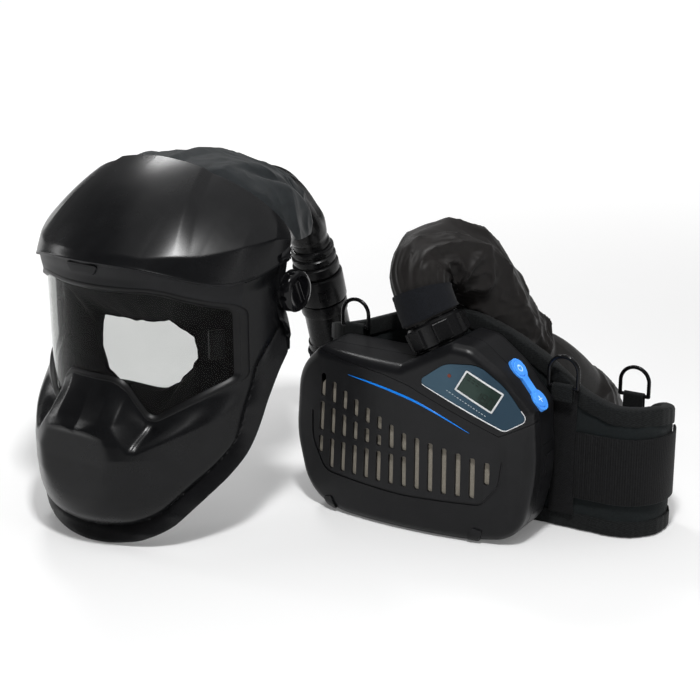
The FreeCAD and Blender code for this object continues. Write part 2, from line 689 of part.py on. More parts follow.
def build_casing():
    """Front cover with grille, upper casing, rear casing, battery and latch."""
    wall = dim("casing_wall")
    full = casing_solid(0, dim("front_round"), dim("back_round"))
    hollow = casing_solid(wall, dim("front_round") - wall, dim("back_round") - wall)
    shell = full.cut(hollow)
    gap = dim("seam_gap")
    split = dim("casing_split")
    spigot_hole = Part.makeCylinder(dim("spigot_rad") + 0.2, 60, FACET_MID - FACET_AXIS * 20,
                                    FACET_AXIS)
    shell = shell.cut(spigot_hole)
    cover = shell.common(seam_prism(False, gap / 2))
    cover = cover.cut(grille_slots()).cut(cover_groove(full))
    feature("front_cover", cover, BLOWER)
    upper = shell.common(seam_prism(True, gap / 2))
    panel = prism(panel_outline(0.8), -60, 0)
    upper = upper.cut(panel.common(full.cut(casing_solid(1.2))))
    pocket = keypad_prism(0.4, -3.2)
    upper = upper.cut(pocket)
    feature("upper_casing", upper, BLOWER)
    rear = shell.common(block(-200, 200, split + gap / 2, 60, -50, 250))
    bay = block(60, 140, -7, 19, 24, 86)
    rear = rear.cut(bay).cut(pocket)
    screws = [(-88, 30), (88, 30), (-88, 112), (84, 112)]
    for x, z in screws:
        rear = rear.cut(Part.makeCylinder(3.1, 10, Vector(x, 20, z), Vector(0, 1, 0)))
    feature("rear_casing", largest(rear), BLOWER)
    heads = [Part.makeCylinder(3, wall - 0.2, Vector(x, dim("casing_back") - wall, z),
                               Vector(0, 1, 0)) for x, z in screws]
    feature("casing_screws", Part.makeCompound(heads), BLOWER)
    battery = full.common(block(58, 140, -6.6, 18.6, 24.4, 85.6))
    latch_bay = block(106, 140, -1.4, 12.4, 57.6, 76.4)
    feature("battery", battery.cut(latch_bay), BLOWER)
    latch = casing_solid(-0.8).common(block(108.5, 140, -1, 12, 58, 76))
    feature("battery_latch", latch, BLOWER)
    proud = casing_solid(-1.4, dim("front_round"), dim("back_round")).cut(casing_solid(
        0, dim("front_round"), dim("back_round")))
    clips = []
    for side in (-1, 1):
        tab = prism(rounded([(side * 63, 3, 1.5), (side * 69, 14, 1.5), (side * 77, 12, 1.5),
                             (side * 73, 1.5, 1.5)]), -60, -20)
        clips.append(proud.common(tab).common(block(-200, 200, -80, 60, 0.5, 60)))
    feature("cover_clips", Part.makeCompound(clips), BLOWER)


def panel_outline(grow):
    """Outline of the control panel's label, wider by `grow` all round."""
    g = grow
    return rounded([(18 - g, 135, 4 + g), (42, 153 + g, 22), (70, 155 + g, 22), (92, 138 + g, 60),
                    (110 + g, 112, 5 + g), (92, 101 - g, 6 + g)])


def keypad_frame():
    """Placement of the keypad on the casing's sloping top right face."""
    along = Vector(23, 0, -28).normalize()
    top = Vector(28, 0, 23).normalize()
    across = top.cross(along)
    centre = Vector(100, -5, 134.8)
    return Placement(centre, Rotation(along, across, top, "ZXY"))


def keypad_prism(grow, depth):
    """The dumbbell outline of the keypad, from above the casing face down to `depth`."""
    g = grow
    lobe = 9.5 + g
    shape = Part.makeCylinder(lobe, 12 - depth, Vector(-15, 0, depth))
    shape = shape.fuse(Part.makeCylinder(lobe, 12 - depth, Vector(15, 0, depth)))
    waist = Part.makeBox(26, 9 + 2 * g, 12 - depth, Vector(-13, -4.5 - g, depth))
    shape = shape.fuse(waist).removeSplitter()
    shape.Placement = keypad_frame()
    return shape


def build_controls():
    """Label, display, lamp, keypad and the two buttons."""
    full = casing_solid(0)
    label = prism(panel_outline(0), -60, 0).common(casing_solid(0.2).cut(casing_solid(1.2)))
    window = rounded_rect(LCD_MID, 36, 20.5, LCD_TURN, 1.0)
    label = label.cut(prism(window, -60, 0))
    lamp = Part.makeCylinder(1.6, 20, Vector(46, -52, 143.5), Vector(0, 1, 0))
    feature("control_label", label.cut(lamp), BLOWER)
    frame = prism(rounded_rect(LCD_MID, 35.6, 20.1, LCD_TURN, 0.9), -60, 0)
    hole = prism(rounded_rect(LCD_MID, 33, 17.5, LCD_TURN, 0.4), -60, 0)
    shell = full.cut(casing_solid(1.2))
    feature("lcd_bezel", frame.cut(hole).common(shell), BLOWER)
    glass = prism(rounded_rect(LCD_MID, 32.8, 17.3, LCD_TURN, 0.3), -60, 0)
    feature("lcd", glass.common(casing_solid(0.4).cut(casing_solid(1.2))), BLOWER)
    lens = Part.makeCylinder(1.5, 20, Vector(46, -52, 143.5), Vector(0, 1, 0))
    feature("status_led", lens.common(casing_solid(0.0).cut(casing_solid(1.2))), BLOWER)
    frame_of_keys = keypad_frame()
    pad_shape = keypad_prism(0, -3.0)
    pad_shape = pad_shape.common(plane_slab(frame_of_keys, -3.0, 0.9))
    buttons = []
    for i, (node, x) in enumerate((("power_button", -15), ("flow_button", 15))):
        bore = Part.makeCylinder(dim("button_rad") + 0.3, 10, Vector(x, 0, -5))
        bore.Placement = frame_of_keys.multiply(bore.Placement)
        pad_shape = pad_shape.cut(bore)
        key = primitive("Cylinder", node + "_key", Vector(x, 0, -1.2), Vector(0, 0, 1),
                        Radius="dims.button_rad", Height="dims.button_travel + 1.6")
        dome = doc.addObject("Part::Fillet", node + "_round")
        dome.Base = key
        rim = [n for n, e in enumerate(key.Shape.Edges, start=1)
               if e.CenterOfMass.z > 0 and e.Length > 20]
        dome.Edges = [(n, 0.8, 0.8) for n in rim]
        doc.recompute()
        buttons.append(keep(dome, node, BLOWER.multiply(frame_of_keys)))
    feature("keypad", pad_shape, BLOWER)


LCD_MID = (71, 132.5)
LCD_TURN = -29.0


def rounded_rect(centre, wide, tall, turn, radius):
    """A turned rectangle outline with rounded corners."""
    t = math.radians(turn)
    corners = []
    for a, b in ((-1, -1), (1, -1), (1, 1), (-1, 1)):
        u = a * wide / 2
        v = b * tall / 2
        corners.append((centre[0] + u * math.cos(t) - v * math.sin(t),
                        centre[1] + u * math.sin(t) + v * math.cos(t), radius))
    return rounded(corners)


def plane_slab(frame, low, high):
    """A wide slab parallel to a frame's XY plane."""
    slab = Part.makeBox(80, 60, high - low, Vector(-40, -30, low))
    slab.Placement = frame
    return slab


# ---------------------------------------------------------------- inside the blower
FAN_MID = Vector(-36, 0, 74)


def build_inside():
    """Filter stack, fan, motor and circuit board."""
    split = dim("casing_split")
    filter_box = doc.addObject("Part::Box", "filter_block")
    filter_box.Length = 156
    filter_box.Width = 16.6
    filter_box.Height = 62
    filter_box.Placement = Placement(Vector(-78, split - 18.5, 24), Rotation())
    keep(filter_box, "hepa_filter", BLOWER)
    mesh = prism(rounded([(-88, 104, 6), (-88, 60, 20), (-74, 34, 8), (76, 34, 8), (88, 60, 20),
                          (88, 78, 6), (20, 92, 20), (-68, 128, 8)]), -60, 0)
    mesh = mesh.common(casing_solid(dim("casing_wall") + 0.3).cut(casing_solid(
        dim("casing_wall") + 2.3)))
    feature("prefilter", mesh, BLOWER)
    rim = block(-80, 80, split - 1.9, split - 0.4, 22, 88).cut(block(-72, 72, split - 3, split,
                                                                     30, 80))
    feature("filter_seal", rim, BLOWER)
    deep = 30
    drum = pad_body("fan_housing", [Part.Circle(Vector(FAN_MID.x, FAN_MID.z, 0), Vector(0, 0, 1),
                                                dim("fan_rad"))], "30")
    pocket_sketch = sketched(drum, "fan_inner", [Part.Circle(Vector(FAN_MID.x, FAN_MID.z, 0),
                                                             Vector(0, 0, 1),
                                                             dim("fan_rad") - 2)])
    pocket = drum.newObject("PartDesign::Pocket", "fan_hollow")
    pocket.Profile = pocket_sketch
    pocket.Length = deep - 2
    pocket.Reversed = True
    drum.Tip = pocket
    doc.recompute()
    if drum.Shape.Volume > math.pi * dim("fan_rad") ** 2 * deep * 0.5:
        pocket.Reversed = False
        doc.recompute()
    inlet_sketch = sketched(drum, "fan_inlet", [Part.Circle(Vector(FAN_MID.x, FAN_MID.z, 0),
                                                            Vector(0, 0, 1), 22)])
    inlet = drum.newObject("PartDesign::Pocket", "fan_inlet_hole")
    inlet.Profile = inlet_sketch
    inlet.Type = 1
    inlet.Midplane = True
    drum.Tip = inlet
    doc.recompute()
    keep(drum, "fan_housing", BLOWER.multiply(Placement(Vector(0, 20.5, 0), Rotation())))
    motor = primitive("Cylinder", "motor_can", FAN_MID + Vector(0, 10, 0), Vector(0, 1, 0),
                      Radius="dims.impeller_rad / 2", Height="12")
    shaft = primitive("Cylinder", "motor_shaft", FAN_MID + Vector(0, -5, 0), Vector(0, 1, 0),
                      Radius="2", Height="16")
    keep(boolean("Fuse", "motor_whole", motor, shaft), "motor", BLOWER)
    rad = dim("impeller_rad")
    wheel = Part.makeCylinder(rad, 1.6, FAN_MID + Vector(0, 7, 0), Vector(0, 1, 0))
    wheel = wheel.fuse(Part.makeCylinder(7, 12, FAN_MID + Vector(0, -4, 0), Vector(0, 1, 0)))
    count = int(dim("blade_count"))
    for i in range(count):
        blade = block(rad * 0.62, rad - 0.5, -5.5, 7.5, -0.8, 0.8)
        blade.rotate(Vector(rad * 0.8, 0, 0), Vector(0, 1, 0), 28)
        blade.rotate(Vector(0, 0, 0), Vector(0, 1, 0), 360 * i / count)
        blade.translate(FAN_MID)
        wheel = wheel.fuse(blade)
    wheel = wheel.cut(Part.makeCylinder(2 + dim("bolt_play"), 20, FAN_MID + Vector(0, -8, 0),
                                        Vector(0, 1, 0)))
    feature("impeller", wheel, BLOWER)
    board = doc.addObject("Part::Box", "board")
    board.Length = 74
    board.Width = 1.6
    board.Height = 38
    board.Placement = Placement(Vector(16, 6, 92), Rotation())
    keep(board, "circuit_board", BLOWER)
    plate = block(-48, 48, 25.3, 28, 45, 120)
    hooks = [block(x - 9, x + 9, 25.3, 30.8, 112, 120) for x in (-34, 34)]
    bracket = plate
    for hook in hooks:
        bracket = bracket.fuse(hook)
    feature("belt_bracket", bracket.removeSplitter(), BLOWER)


def build_outlet():
    """Outlet spigot and the lugged bayonet collar that locks the hose on it."""
    rad = dim("spigot_rad")
    length = dim("spigot_long")
    spigot = turned([(dim("spigot_bore"), -14), (rad, -14), (rad, length),
                     (dim("spigot_bore"), length)], FACET_MID, FACET_AXIS)
    feature("outlet_spigot", spigot, BLOWER)
    inner = rad + dim("collar_play")
    outer = dim("collar_rad")
    top = 1.5 + dim("collar_tall")
    ring = turned([(inner, 1.5), (outer - 1, 1.5), (outer, 3), (outer, top - 2),
                   (outer - 1.5, top), (inner, top)], Vector(0, 0, 0), Vector(0, 0, 1))
    count = int(dim("lug_count"))
    for i in range(count):
        lug = block(outer - 1, outer + 2.2, -7, 7, 3.5, top - 3)
        lug = lug.makeFillet(1, [e for e in lug.Edges if e.CenterOfMass.x > outer + 2])
        lug.rotate(Vector(0, 0, 0), Vector(0, 0, 1), 360 * i / count + 12)
        ring = ring.fuse(lug)
    ring.Placement = Placement(FACET_MID, Rotation(Vector(0, 0, 1), FACET_AXIS))
    feature("outlet_collar", ring, BLOWER)


# ---------------------------------------------------------------- hose
HOSE_ROUTE = [(9.3, -5, 177.7), (-3.3, -5, 200.3), (-8, 9, 220), (2, 31, 230), (17, 52, 220),
              (29, 68, 194), (38, 76, 162), (50, 91, 132), (62, 118, 117), (72, 150, 92),
              (78, 182, 58), (72, 212, 33), (46, 236, 26), (4, 248, 26), (-46, 242, 26),
              (-88, 216, 26), (-120, 188, 25.5), (-148, 174, 27), (-171, 170.5, 40),
              (-185.8, 163.3, 61.2), (-186.3, 156, 84)]


def build_hose():
    """The sleeved breathing hose, from the outlet over the belt and along the floor to the helmet."""
    start = FACET_MID + FACET_AXIS * dim("spigot_long")
    end = BLOWER.inverse().multiply(HELMET).multVec(CONNECTOR_END)
    axis = BLOWER.inverse().multiply(HELMET).Rotation.multVec(CONNECTOR_END - CONNECTOR_TOP)
    axis.normalize()
    points = [Vector(*p) for p in HOSE_ROUTE]
    points[0] = start
    points[1] = start + FACET_AXIS * (points[1] - start).Length
    points[-1] = end
    points[-2] = end + axis * (points[-2] - end).Length
    radii = []
    path = rounded_path(points, radii)
    wire = Part.Wire(path)
    circle = Part.Wire(Part.makeCircle(dim("hose_rad"), start, points[1] - start))
    tube = wire.makePipeShell([circle], True, False)
    section = math.pi * dim("hose_rad") ** 2
    print("hose radii", " ".join("%.0f" % r for r in radii))
    print("hose length %.1f, volume over section times length %.4f"
          % (wire.Length, tube.Volume / (section * wire.Length)))
    print("hose points", [tuple(round(c, 1) for c in p) for p in points])
    feature("hose", tube, BLOWER)


# ---------------------------------------------------------------- belt
def belt_path(offset=0.0, start=0.0, end=1.0, count=60):
    """Points of the belt's plan, from its left rear end round the front to its right rear end."""
    left = dim("pad_left")
    right = dim("pad_right")
    front = dim("pad_front_y")
    back = dim("pad_back_y")
    rad = (back - front) / 2
    mid = (front + back) / 2
    runs = [("line", Vector(left + 92, back, 0), Vector(left + rad, back, 0)),
            ("arc", Vector(left + rad, mid, 0), 90, 180),
            ("line", Vector(left + rad, front, 0), Vector(right - rad, front, 0)),
            ("arc", Vector(right - rad, mid, 0), -90, 180),
            ("line", Vector(right - rad, back, 0), Vector(right - 52, back, 0))]
    lengths = []
    for run in runs:
        lengths.append((run[1] - run[2]).Length if run[0] == "line" else math.pi * rad)
    total = sum(lengths)
    points = []
    for i in range(count + 1):
        s = total * (start + (end - start) * i / count)
        for run, length in zip(runs, lengths):
            if s <= length + 1e-6 or run is runs[-1]:
                break
            s -= length
        part = s / length
        if run[0] == "line":
            heading = (run[2] - run[1]).normalize()
            outward = Vector(heading.y, -heading.x, 0)
            spot = run[1] + (run[2] - run[1]) * part + outward * offset
        else:
            t = math.radians(run[2] + run[3] * part)
            spot = run[1] + Vector(math.cos(t), math.sin(t), 0) * (rad + offset)
        points.append((spot, start + (end - start) * i / count))
    return points


PAD_HEIGHTS = [(0.0, 62), (0.06, 96), (0.16, 128), (0.24, 140), (0.32, 151), (0.38, 163),
               (0.45, 176), (0.485, 178), (0.53, 176), (0.60, 163), (0.66, 146), (0.72, 122),
               (0.77, 113), (0.84, 112), (0.94, 100), (1.0, 62)]


def belt_bar(half, low, high, start=0.0, end=1.0, middle=0.0, count=60):
    """A bar along the belt; low and high give its heights from the share of the path."""
    inner = belt_path(middle - half, start, end, count)
    outer = belt_path(middle + half, start, end, count)
    rails = [[Vector(p.x, p.y, low(s)) for p, s in inner],
             [Vector(p.x, p.y, low(s)) for p, s in outer],
             [Vector(p.x, p.y, high(s)) for p, s in outer],
             [Vector(p.x, p.y, high(s)) for p, s in inner]]
    return bar(rails)


def pad_height(s):
    """Height of the belt pad's top edge."""
    return blend_table(PAD_HEIGHTS, s)


def build_belt():
    """Pad, binding, elastic band, webbing, buckle, slider and rings."""
    thick = dim("pad_thick")
    wide = dim("binding_tall")
    lift = 0.5
    feature("belt_pad", belt_bar(thick / 2, lambda s: 0.0, pad_height), BLOWER)
    half = dim("binding_thick") / 2
    strips = []
    for side in (-1, 1):
        middle = side * (thick / 2 + half)
        strips.append(belt_bar(half, lambda s: pad_height(s) - wide, pad_height, middle=middle))
        strips.append(belt_bar(half, lambda s: lift, lambda s: wide, middle=middle))
    feature("belt_binding", Part.makeCompound(strips), BLOWER)
    low = dim("band_low")
    high = dim("band_high")
    elastic = belt_bar(1.1, lambda s: low, lambda s: high, 0.715, 0.90, thick / 2 + 1.3, 24)
    feature("elastic_band", elastic, BLOWER)
    front = dim("pad_front_y") - thick / 2 - dim("binding_thick")
    strap = block(106, 128, front - 2.6, front - 0.2, 14, 122)
    feature("ring_strap", strap, BLOWER)
    web = dim("web_y")
    thin = dim("web_thick")
    left = block(-100, 2, web, web + thin, dim("web_low"), dim("web_high"))
    feature("belt_webbing", left, BLOWER)
    tail = block(62, 142, web, web + thin, dim("web_low"), dim("web_high"))
    feature("strap_tail", tail, BLOWER)
    build_buckle(web + thin / 2)
    build_rings(front)


def build_buckle(mid):
    """Side-release buckle: the socket on the left strap, the pronged plug on the tail."""
    low = dim("web_low") - 3
    high = dim("web_high") + 3
    shell = block(2.2, 40, mid - 6, mid + 6, low, high)
    shell = shell.makeFillet(2.5, [e for e in shell.Edges if e.BoundBox.XLength > 20])
    shell = shell.cut(block(8, 50, mid - 3.5, mid + 3.5, low + 4, high - 4))
    for z0, z1 in ((low - 1, low + 5), (high - 5, high + 1)):
        shell = shell.cut(block(14, 28, mid - 3.5, mid + 3.5, z0, z1))
    feature("buckle_socket", shell, BLOWER)
    head = block(40.6, 61.8, mid - 5, mid + 5, low, high)
    head = head.makeFillet(2, [e for e in head.Edges if e.BoundBox.XLength > 15])
    for z0, z1 in ((low + 5, low + 10), (high - 10, high - 5), (low + 24, high - 24)):
        head = head.fuse(block(12, 42, mid - 2.8, mid + 2.8, z0, z1))
    feature("buckle_plug", head, BLOWER)
    slider = block(-72, -50, web_front() - 1.2, web_front() + 7.5, low, high)
    slider = slider.cut(block(-73, -49, web_front() - 0.4, web_front() + dim("web_thick") + 0.4,
                              dim("web_low") - 0.4, dim("web_high") + 0.4))
    feature("strap_slider", slider, BLOWER)


def web_front():
    """The webbing's face towards the blower."""
    return dim("web_y")


def d_ring(height):
    """A D-shaped wire ring with its bar on the X axis and its bow upwards."""
    half = 13.0
    start = Vector(-half, 0, 0)
    edges = [Part.LineSegment(start, Vector(half, 0, 0)).toShape(),
             Part.LineSegment(Vector(half, 0, 0), Vector(half, 0, height - half)).toShape(),
             Part.Arc(Vector(half, 0, height - half), Vector(0, 0, height),
                      Vector(-half, 0, height - half)).toShape(),
             Part.LineSegment(Vector(-half, 0, height - half), start).toShape()]
    rad = dim("wire_rad")
    bow = Part.Wire(edges[1:])
    circle = Part.Wire(Part.makeCircle(rad, Vector(half, 0, 0), Vector(0, 0, 1)))
    ring = bow.makePipeShell([circle], True, False)
    rod = Part.makeCylinder(rad, 2 * half, start, Vector(1, 0, 0))
    ring = ring.fuse(rod)
    for side in (-1, 1):
        ring = ring.fuse(Part.makeSphere(rad, Vector(side * half, 0, 0)))
    return ring


def build_rings(front):
    """Three D-rings and the cloth loops that hold their bars."""
    rad = dim("wire_rad")
    play = dim("loop_play")
    back = dim("pad_back_y") + dim("pad_thick") / 2 + dim("binding_thick")
    spots = {"ring_left": (Vector(-84, front - 3.0, 149), 24),
             "ring_middle": (Vector(117, front - 5.6, 127), 26),
             "ring_right": (Vector(146, back + 3.0, 100), 25)}
    loops = []
    for node, (spot, height) in spots.items():
        ring = d_ring(height)
        feature(node, ring, BLOWER.multiply(Placement(spot, Rotation())))
        loop = block(-9, 9, -rad - 1.1, rad + 1.1, -12, rad + 1.1)
        loop = loop.cut(Part.makeCylinder(rad + play, 40, Vector(-20, 0, 0), Vector(1, 0, 0)))
        loop.translate(spot)
        loops.append(loop)
    feature("ring_loops", Part.makeCompound(loops), BLOWER)


# ---------------------------------------------------------------- build and write
build_helmet()
build_harness()
build_duct()
build_casing()
build_controls()
build_inside()
build_outlet()
build_hose()
build_belt()
doc.recompute()

faults = [o.Label for o in doc.Objects if "Invalid" in o.State or "Error" in o.State]
for obj in PARTS:
    if obj.Shape.isNull() or not obj.Shape.isValid() or not obj.Shape.Solids:
        faults.append(obj.Label)
if faults:
    raise RuntimeError("faulty: " + ", ".join(faults))

os.makedirs("parts", exist_ok=True)
low = Vector(1e9, 1e9, 1e9)
high = Vector(-1e9, -1e9, -1e9)
for obj in PARTS:
    obj.Shape.exportStep("parts/%s.step" % obj.Label)
    if obj.Label != "hose":
        box = obj.Shape.optimalBoundingBox(False)
        low = Vector(min(low.x, box.XMin), min(low.y, box.YMin), min(low.z, box.ZMin))
        high = Vector(max(high.x, box.XMax), max(high.y, box.YMax), max(high.z, box.ZMax))
print("%d sub-parts; box without the hose" % len(PARTS), low, high)
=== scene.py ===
"""Looks of the powered air respirator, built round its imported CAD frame.

Lengths in this script are millimetres in two local frames, the blower's and the helmet's, until
`place` turns them into metres in the row frame.
"""
import math
import bpy
import bmesh
import numpy as np
from mathutils import Matrix, Vector, noise


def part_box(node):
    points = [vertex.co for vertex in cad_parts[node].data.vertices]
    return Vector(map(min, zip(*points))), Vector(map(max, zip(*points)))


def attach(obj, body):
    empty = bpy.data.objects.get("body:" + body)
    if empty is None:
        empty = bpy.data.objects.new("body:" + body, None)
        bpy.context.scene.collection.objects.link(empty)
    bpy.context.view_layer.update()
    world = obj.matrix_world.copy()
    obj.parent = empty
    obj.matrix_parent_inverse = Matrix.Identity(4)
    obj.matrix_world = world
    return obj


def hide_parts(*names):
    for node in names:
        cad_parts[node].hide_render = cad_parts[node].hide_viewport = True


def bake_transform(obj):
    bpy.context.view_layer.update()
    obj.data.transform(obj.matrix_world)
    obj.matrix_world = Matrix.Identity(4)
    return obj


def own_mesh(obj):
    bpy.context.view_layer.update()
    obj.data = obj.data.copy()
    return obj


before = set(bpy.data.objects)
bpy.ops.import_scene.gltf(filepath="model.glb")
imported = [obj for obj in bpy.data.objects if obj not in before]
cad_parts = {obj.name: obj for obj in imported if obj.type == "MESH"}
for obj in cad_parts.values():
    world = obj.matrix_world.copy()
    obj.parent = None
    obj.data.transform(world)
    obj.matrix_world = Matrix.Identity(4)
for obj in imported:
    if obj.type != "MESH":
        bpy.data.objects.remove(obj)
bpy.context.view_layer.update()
MM = 0.001


# ---------------------------------------------------------------- local frames
def middle(node):
    """Centre of a CAD node's box, in metres."""
    low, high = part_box(node)
    return (low + high) / 2


FAN_X = -36.0
CASING_BACK = 25.0
BLOWER = Matrix.Translation((middle("motor").x - FAN_X * MM,
                             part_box("rear_casing")[1].y - CASING_BACK * MM, 0)) @ Matrix.Scale(MM, 4)
KNOB_LEFT = middle("pivot_knob_left")
KNOB_RIGHT = middle("pivot_knob_right")
PIVOT_HEIGHT = KNOB_RIGHT.z / MM
HELMET_YAW = math.atan2(KNOB_RIGHT.y - KNOB_LEFT.y, KNOB_RIGHT.x - KNOB_LEFT.x)
HELMET = (Matrix.Translation(((KNOB_LEFT.x + KNOB_RIGHT.x) / 2, (KNOB_LEFT.y + KNOB_RIGHT.y) / 2, 0))
          @ Matrix.Rotation(HELMET_YAW, 4, "Z") @ Matrix.Scale(MM, 4))


def place(points, matrix):
    """Local millimetre points as metres in the row frame."""
    m = np.array(matrix)
    return np.asarray(points, float) @ m[:3, :3].T + m[:3, 3]


def new_object(name, data):
    """An object in the scene from its data."""
    made = bpy.data.objects.new(name, data)
    bpy.context.scene.collection.objects.link(made)
    return made


# ---------------------------------------------------------------- camera
TARGET = BLOWER @ Vector((-121.6, 81.0, 106.7))
VIEW_AZIMUTH = math.radians(31)
VIEW_ELEVATION = math.radians(17)
VIEW_DISTANCE = 1.533


def make_camera():
    """The camera, at the height and bearing of a table-top product shot."""
    data = bpy.data.cameras.new("camera")
    data.lens = 85
    data.sensor_width = 36
    data.clip_start = 0.05
    camera = new_object("camera", data)
    flat = math.cos(VIEW_ELEVATION)
    back = Vector((math.sin(VIEW_AZIMUTH) * flat, -math.cos(VIEW_AZIMUTH) * flat,
                   math.sin(VIEW_ELEVATION)))
    camera.location = TARGET + back * VIEW_DISTANCE
    camera.rotation_mode = "QUATERNION"
    camera.rotation_quaternion = (-back).to_track_quat("-Z", "Y")
    bpy.context.scene.camera = camera


make_camera()

# ---------------------------------------------------------------- hose route (blower frame)
HOSE_ROUTE = [(9.3, -5, 177.7), (-3.3, -5, 200.3), (-8, 9, 220), (2, 31, 230), (17, 52, 220),
              (29, 68, 194), (38, 76, 162), (50, 91, 132), (62, 118, 117), (72, 150, 92),
              (78, 182, 58), (72, 212, 33), (46, 236, 26), (4, 248, 26), (-46, 242, 26),
              (-88, 216, 26), (-120, 188, 25.5), (-148, 174, 27), (-171, 170.5, 40),
              (-185.8, 163.3, 61.2), (-186.3, 156, 84)]
INNER_HOSE_RADIUS = 18.5
SLEEVE_SIDES = 120
CLOTH_WALL = 0.9
ARCH_SAG = 8.0
# The sleeve is narrower all round where the pulled buckle plug passes it.
PASS_AT = 252
PASS_HALF = 34
PASS_RADIUS = 23.0
CUFF_SIDES = 96
CUFF_WALL = 1.4


# ---------------------------------------------------------------- node helpers for materials
def new_material(name):
    """An empty node material; returns it with its node tree and principled shader."""
    material = bpy.data.materials.new(name)
    material.use_nodes = True
    tree = material.node_tree
    return material, tree, tree.nodes["Principled BSDF"]


def node(tree, kind, **values):
    """A node with its properties and unlinked inputs set; input names use _ for spaces."""
    made = tree.nodes.new("ShaderNode" + kind)
    for key, value in values.items():
        if hasattr(made, key):
            setattr(made, key, value)
        else:
            made.inputs[key.replace("_", " ")].default_value = value
    return made


def maths(tree, operation, *inputs):
    """A maths node's output; each input is a number or a socket."""
    made = node(tree, "Math", operation=operation)
    for socket, value in zip(made.inputs, inputs):
        if isinstance(value, (int, float)):
            socket.default_value = value
        else:
            tree.links.new(value, socket)
    return made.outputs[0]


def settings(shader, **values):
    """Plain values on the shader's own sockets; names use _ for spaces."""
    for key, value in values.items():
        shader.inputs[key.replace("_", " ")].default_value = value


def axes(tree, kind):
    """The separate axes of a texture coordinate."""
    parts = node(tree, "SeparateXYZ")
    tree.links.new(node(tree, "TexCoord").outputs[kind], parts.inputs["Vector"])
    return parts.outputs


def coordinates(tree, scale=(1, 1, 1), kind="Object"):
    """Texture coordinates of the mesh, scaled."""
    coords = node(tree, "TexCoord")
    mapping = node(tree, "Mapping")
    mapping.inputs["Scale"].default_value = scale
    tree.links.new(coords.outputs[kind], mapping.inputs["Vector"])
    return mapping.outputs["Vector"]


def mixed(tree, factor, low, high):
    """A colour that runs from `low` to `high` with a factor socket."""
    ramp = node(tree, "ValToRGB")
    ramp.color_ramp.elements[0].color = (*low, 1)
    ramp.color_ramp.elements[1].color = (*high, 1)
    ramp.color_ramp.elements[0].position = 0.3
    ramp.color_ramp.elements[1].position = 0.7
    tree.links.new(factor, ramp.inputs["Fac"])
    return ramp.outputs["Color"]


def ranged(tree, value, low, high, source=(0.3, 0.7)):
    """A value mapped from a source range to low..high."""
    made = node(tree, "MapRange", From_Min=source[0], From_Max=source[1], To_Min=low, To_Max=high)
    tree.links.new(value, made.inputs["Value"])
    return made.outputs["Result"]


def bumped(tree, shader, height, strength, distance=0.0002):
    """Joins a height socket to the shader's normal."""
    bump = node(tree, "Bump", Strength=strength, Distance=distance)
    tree.links.new(height, bump.inputs["Height"])
    tree.links.new(bump.outputs["Normal"], shader.inputs["Normal"])


def noise_value(tree, vector, scale, detail=3.0, roughness=0.5):
    """A noise texture's value."""
    made = node(tree, "TexNoise", Scale=scale, Detail=detail, Roughness=roughness)
    tree.links.new(vector, made.inputs["Vector"])
    return made.outputs["Fac"]


def plastic(name, colour, rough, grain=0.05, grain_scale=2200, patch=0.05, worn=0.0):
    """Moulded plastic: fine grain, patchy gloss, faint dust and slightly paler worn edges."""
    material, tree, shader = new_material(name)
    vector = coordinates(tree)
    broad = noise_value(tree, vector, 28, 4, 0.6)
    fine = noise_value(tree, vector, grain_scale, 2)
    rough_value = ranged(tree, broad, rough - patch, rough + patch)
    tree.links.new(rough_value, shader.inputs["Roughness"])
    dusty = tuple(c * 1.35 + 0.0015 for c in colour)
    base = mixed(tree, noise_value(tree, vector, 60, 6, 0.7), colour, dusty)
    if worn:
        shape = node(tree, "NewGeometry")
        edge = ranged(tree, shape.outputs["Pointiness"], 0, worn, (0.53, 0.62))
        blend = node(tree, "Mix", data_type="RGBA")
        tree.links.new(edge, blend.inputs["Factor"])
        tree.links.new(base, blend.inputs[6])
        blend.inputs[7].default_value = (*[min(1, c * 3 + 0.02) for c in colour], 1)
        base = blend.outputs[2]
    tree.links.new(base, shader.inputs["Base Color"])
    settings(shader, IOR=1.3)
    bumped(tree, shader, fine, grain)
    return material


def cloth(name, dark, pale, weave, rough, sheen, bump):
    """Woven cloth: crossed threads, uneven dye and a soft sheen."""
    material, tree, shader = new_material(name)
    vector = coordinates(tree, kind="UV")
    warp = node(tree, "TexWave", wave_type="BANDS", bands_direction="X", Scale=weave,
                Distortion=0.6, Detail=1.0)
    weft = node(tree, "TexWave", wave_type="BANDS", bands_direction="Y", Scale=weave,
                Distortion=0.6, Detail=1.0)
    for texture in (warp, weft):
        tree.links.new(vector, texture.inputs["Vector"])
    threads = maths(tree, "MULTIPLY", warp.outputs["Fac"], weft.outputs["Fac"])
    spots = noise_value(tree, coordinates(tree), 90, 5, 0.65)
    blend = maths(tree, "MULTIPLY_ADD", threads, 0.35, spots)
    tree.links.new(mixed(tree, blend, dark, pale), shader.inputs["Base Color"])
    settings(shader, Roughness=rough, Sheen_Weight=sheen, Sheen_Roughness=0.4,
             Specular_IOR_Level=0.22)
    bumped(tree, shader, blend, bump, 0.00015)
    return material


def felt(name, dark, pale, fibre, sheen):
    """Matted felt: short crossed fibres and pale specks."""
    material, tree, shader = new_material(name)
    vector = coordinates(tree)
    fibres = noise_value(tree, vector, fibre, 4, 0.8)
    specks = noise_value(tree, vector, 420, 6, 0.9)
    total = maths(tree, "MULTIPLY_ADD", fibres, 0.55, maths(tree, "MULTIPLY", specks, 0.45))
    tree.links.new(mixed(tree, total, dark, pale), shader.inputs["Base Color"])
    settings(shader, Roughness=0.95, Sheen_Weight=sheen, Sheen_Roughness=0.5,
             Specular_IOR_Level=0.1)
    bumped(tree, shader, total, 0.9, 0.0004)
    return material


HERRINGBONE_STRIPE = 0.0035


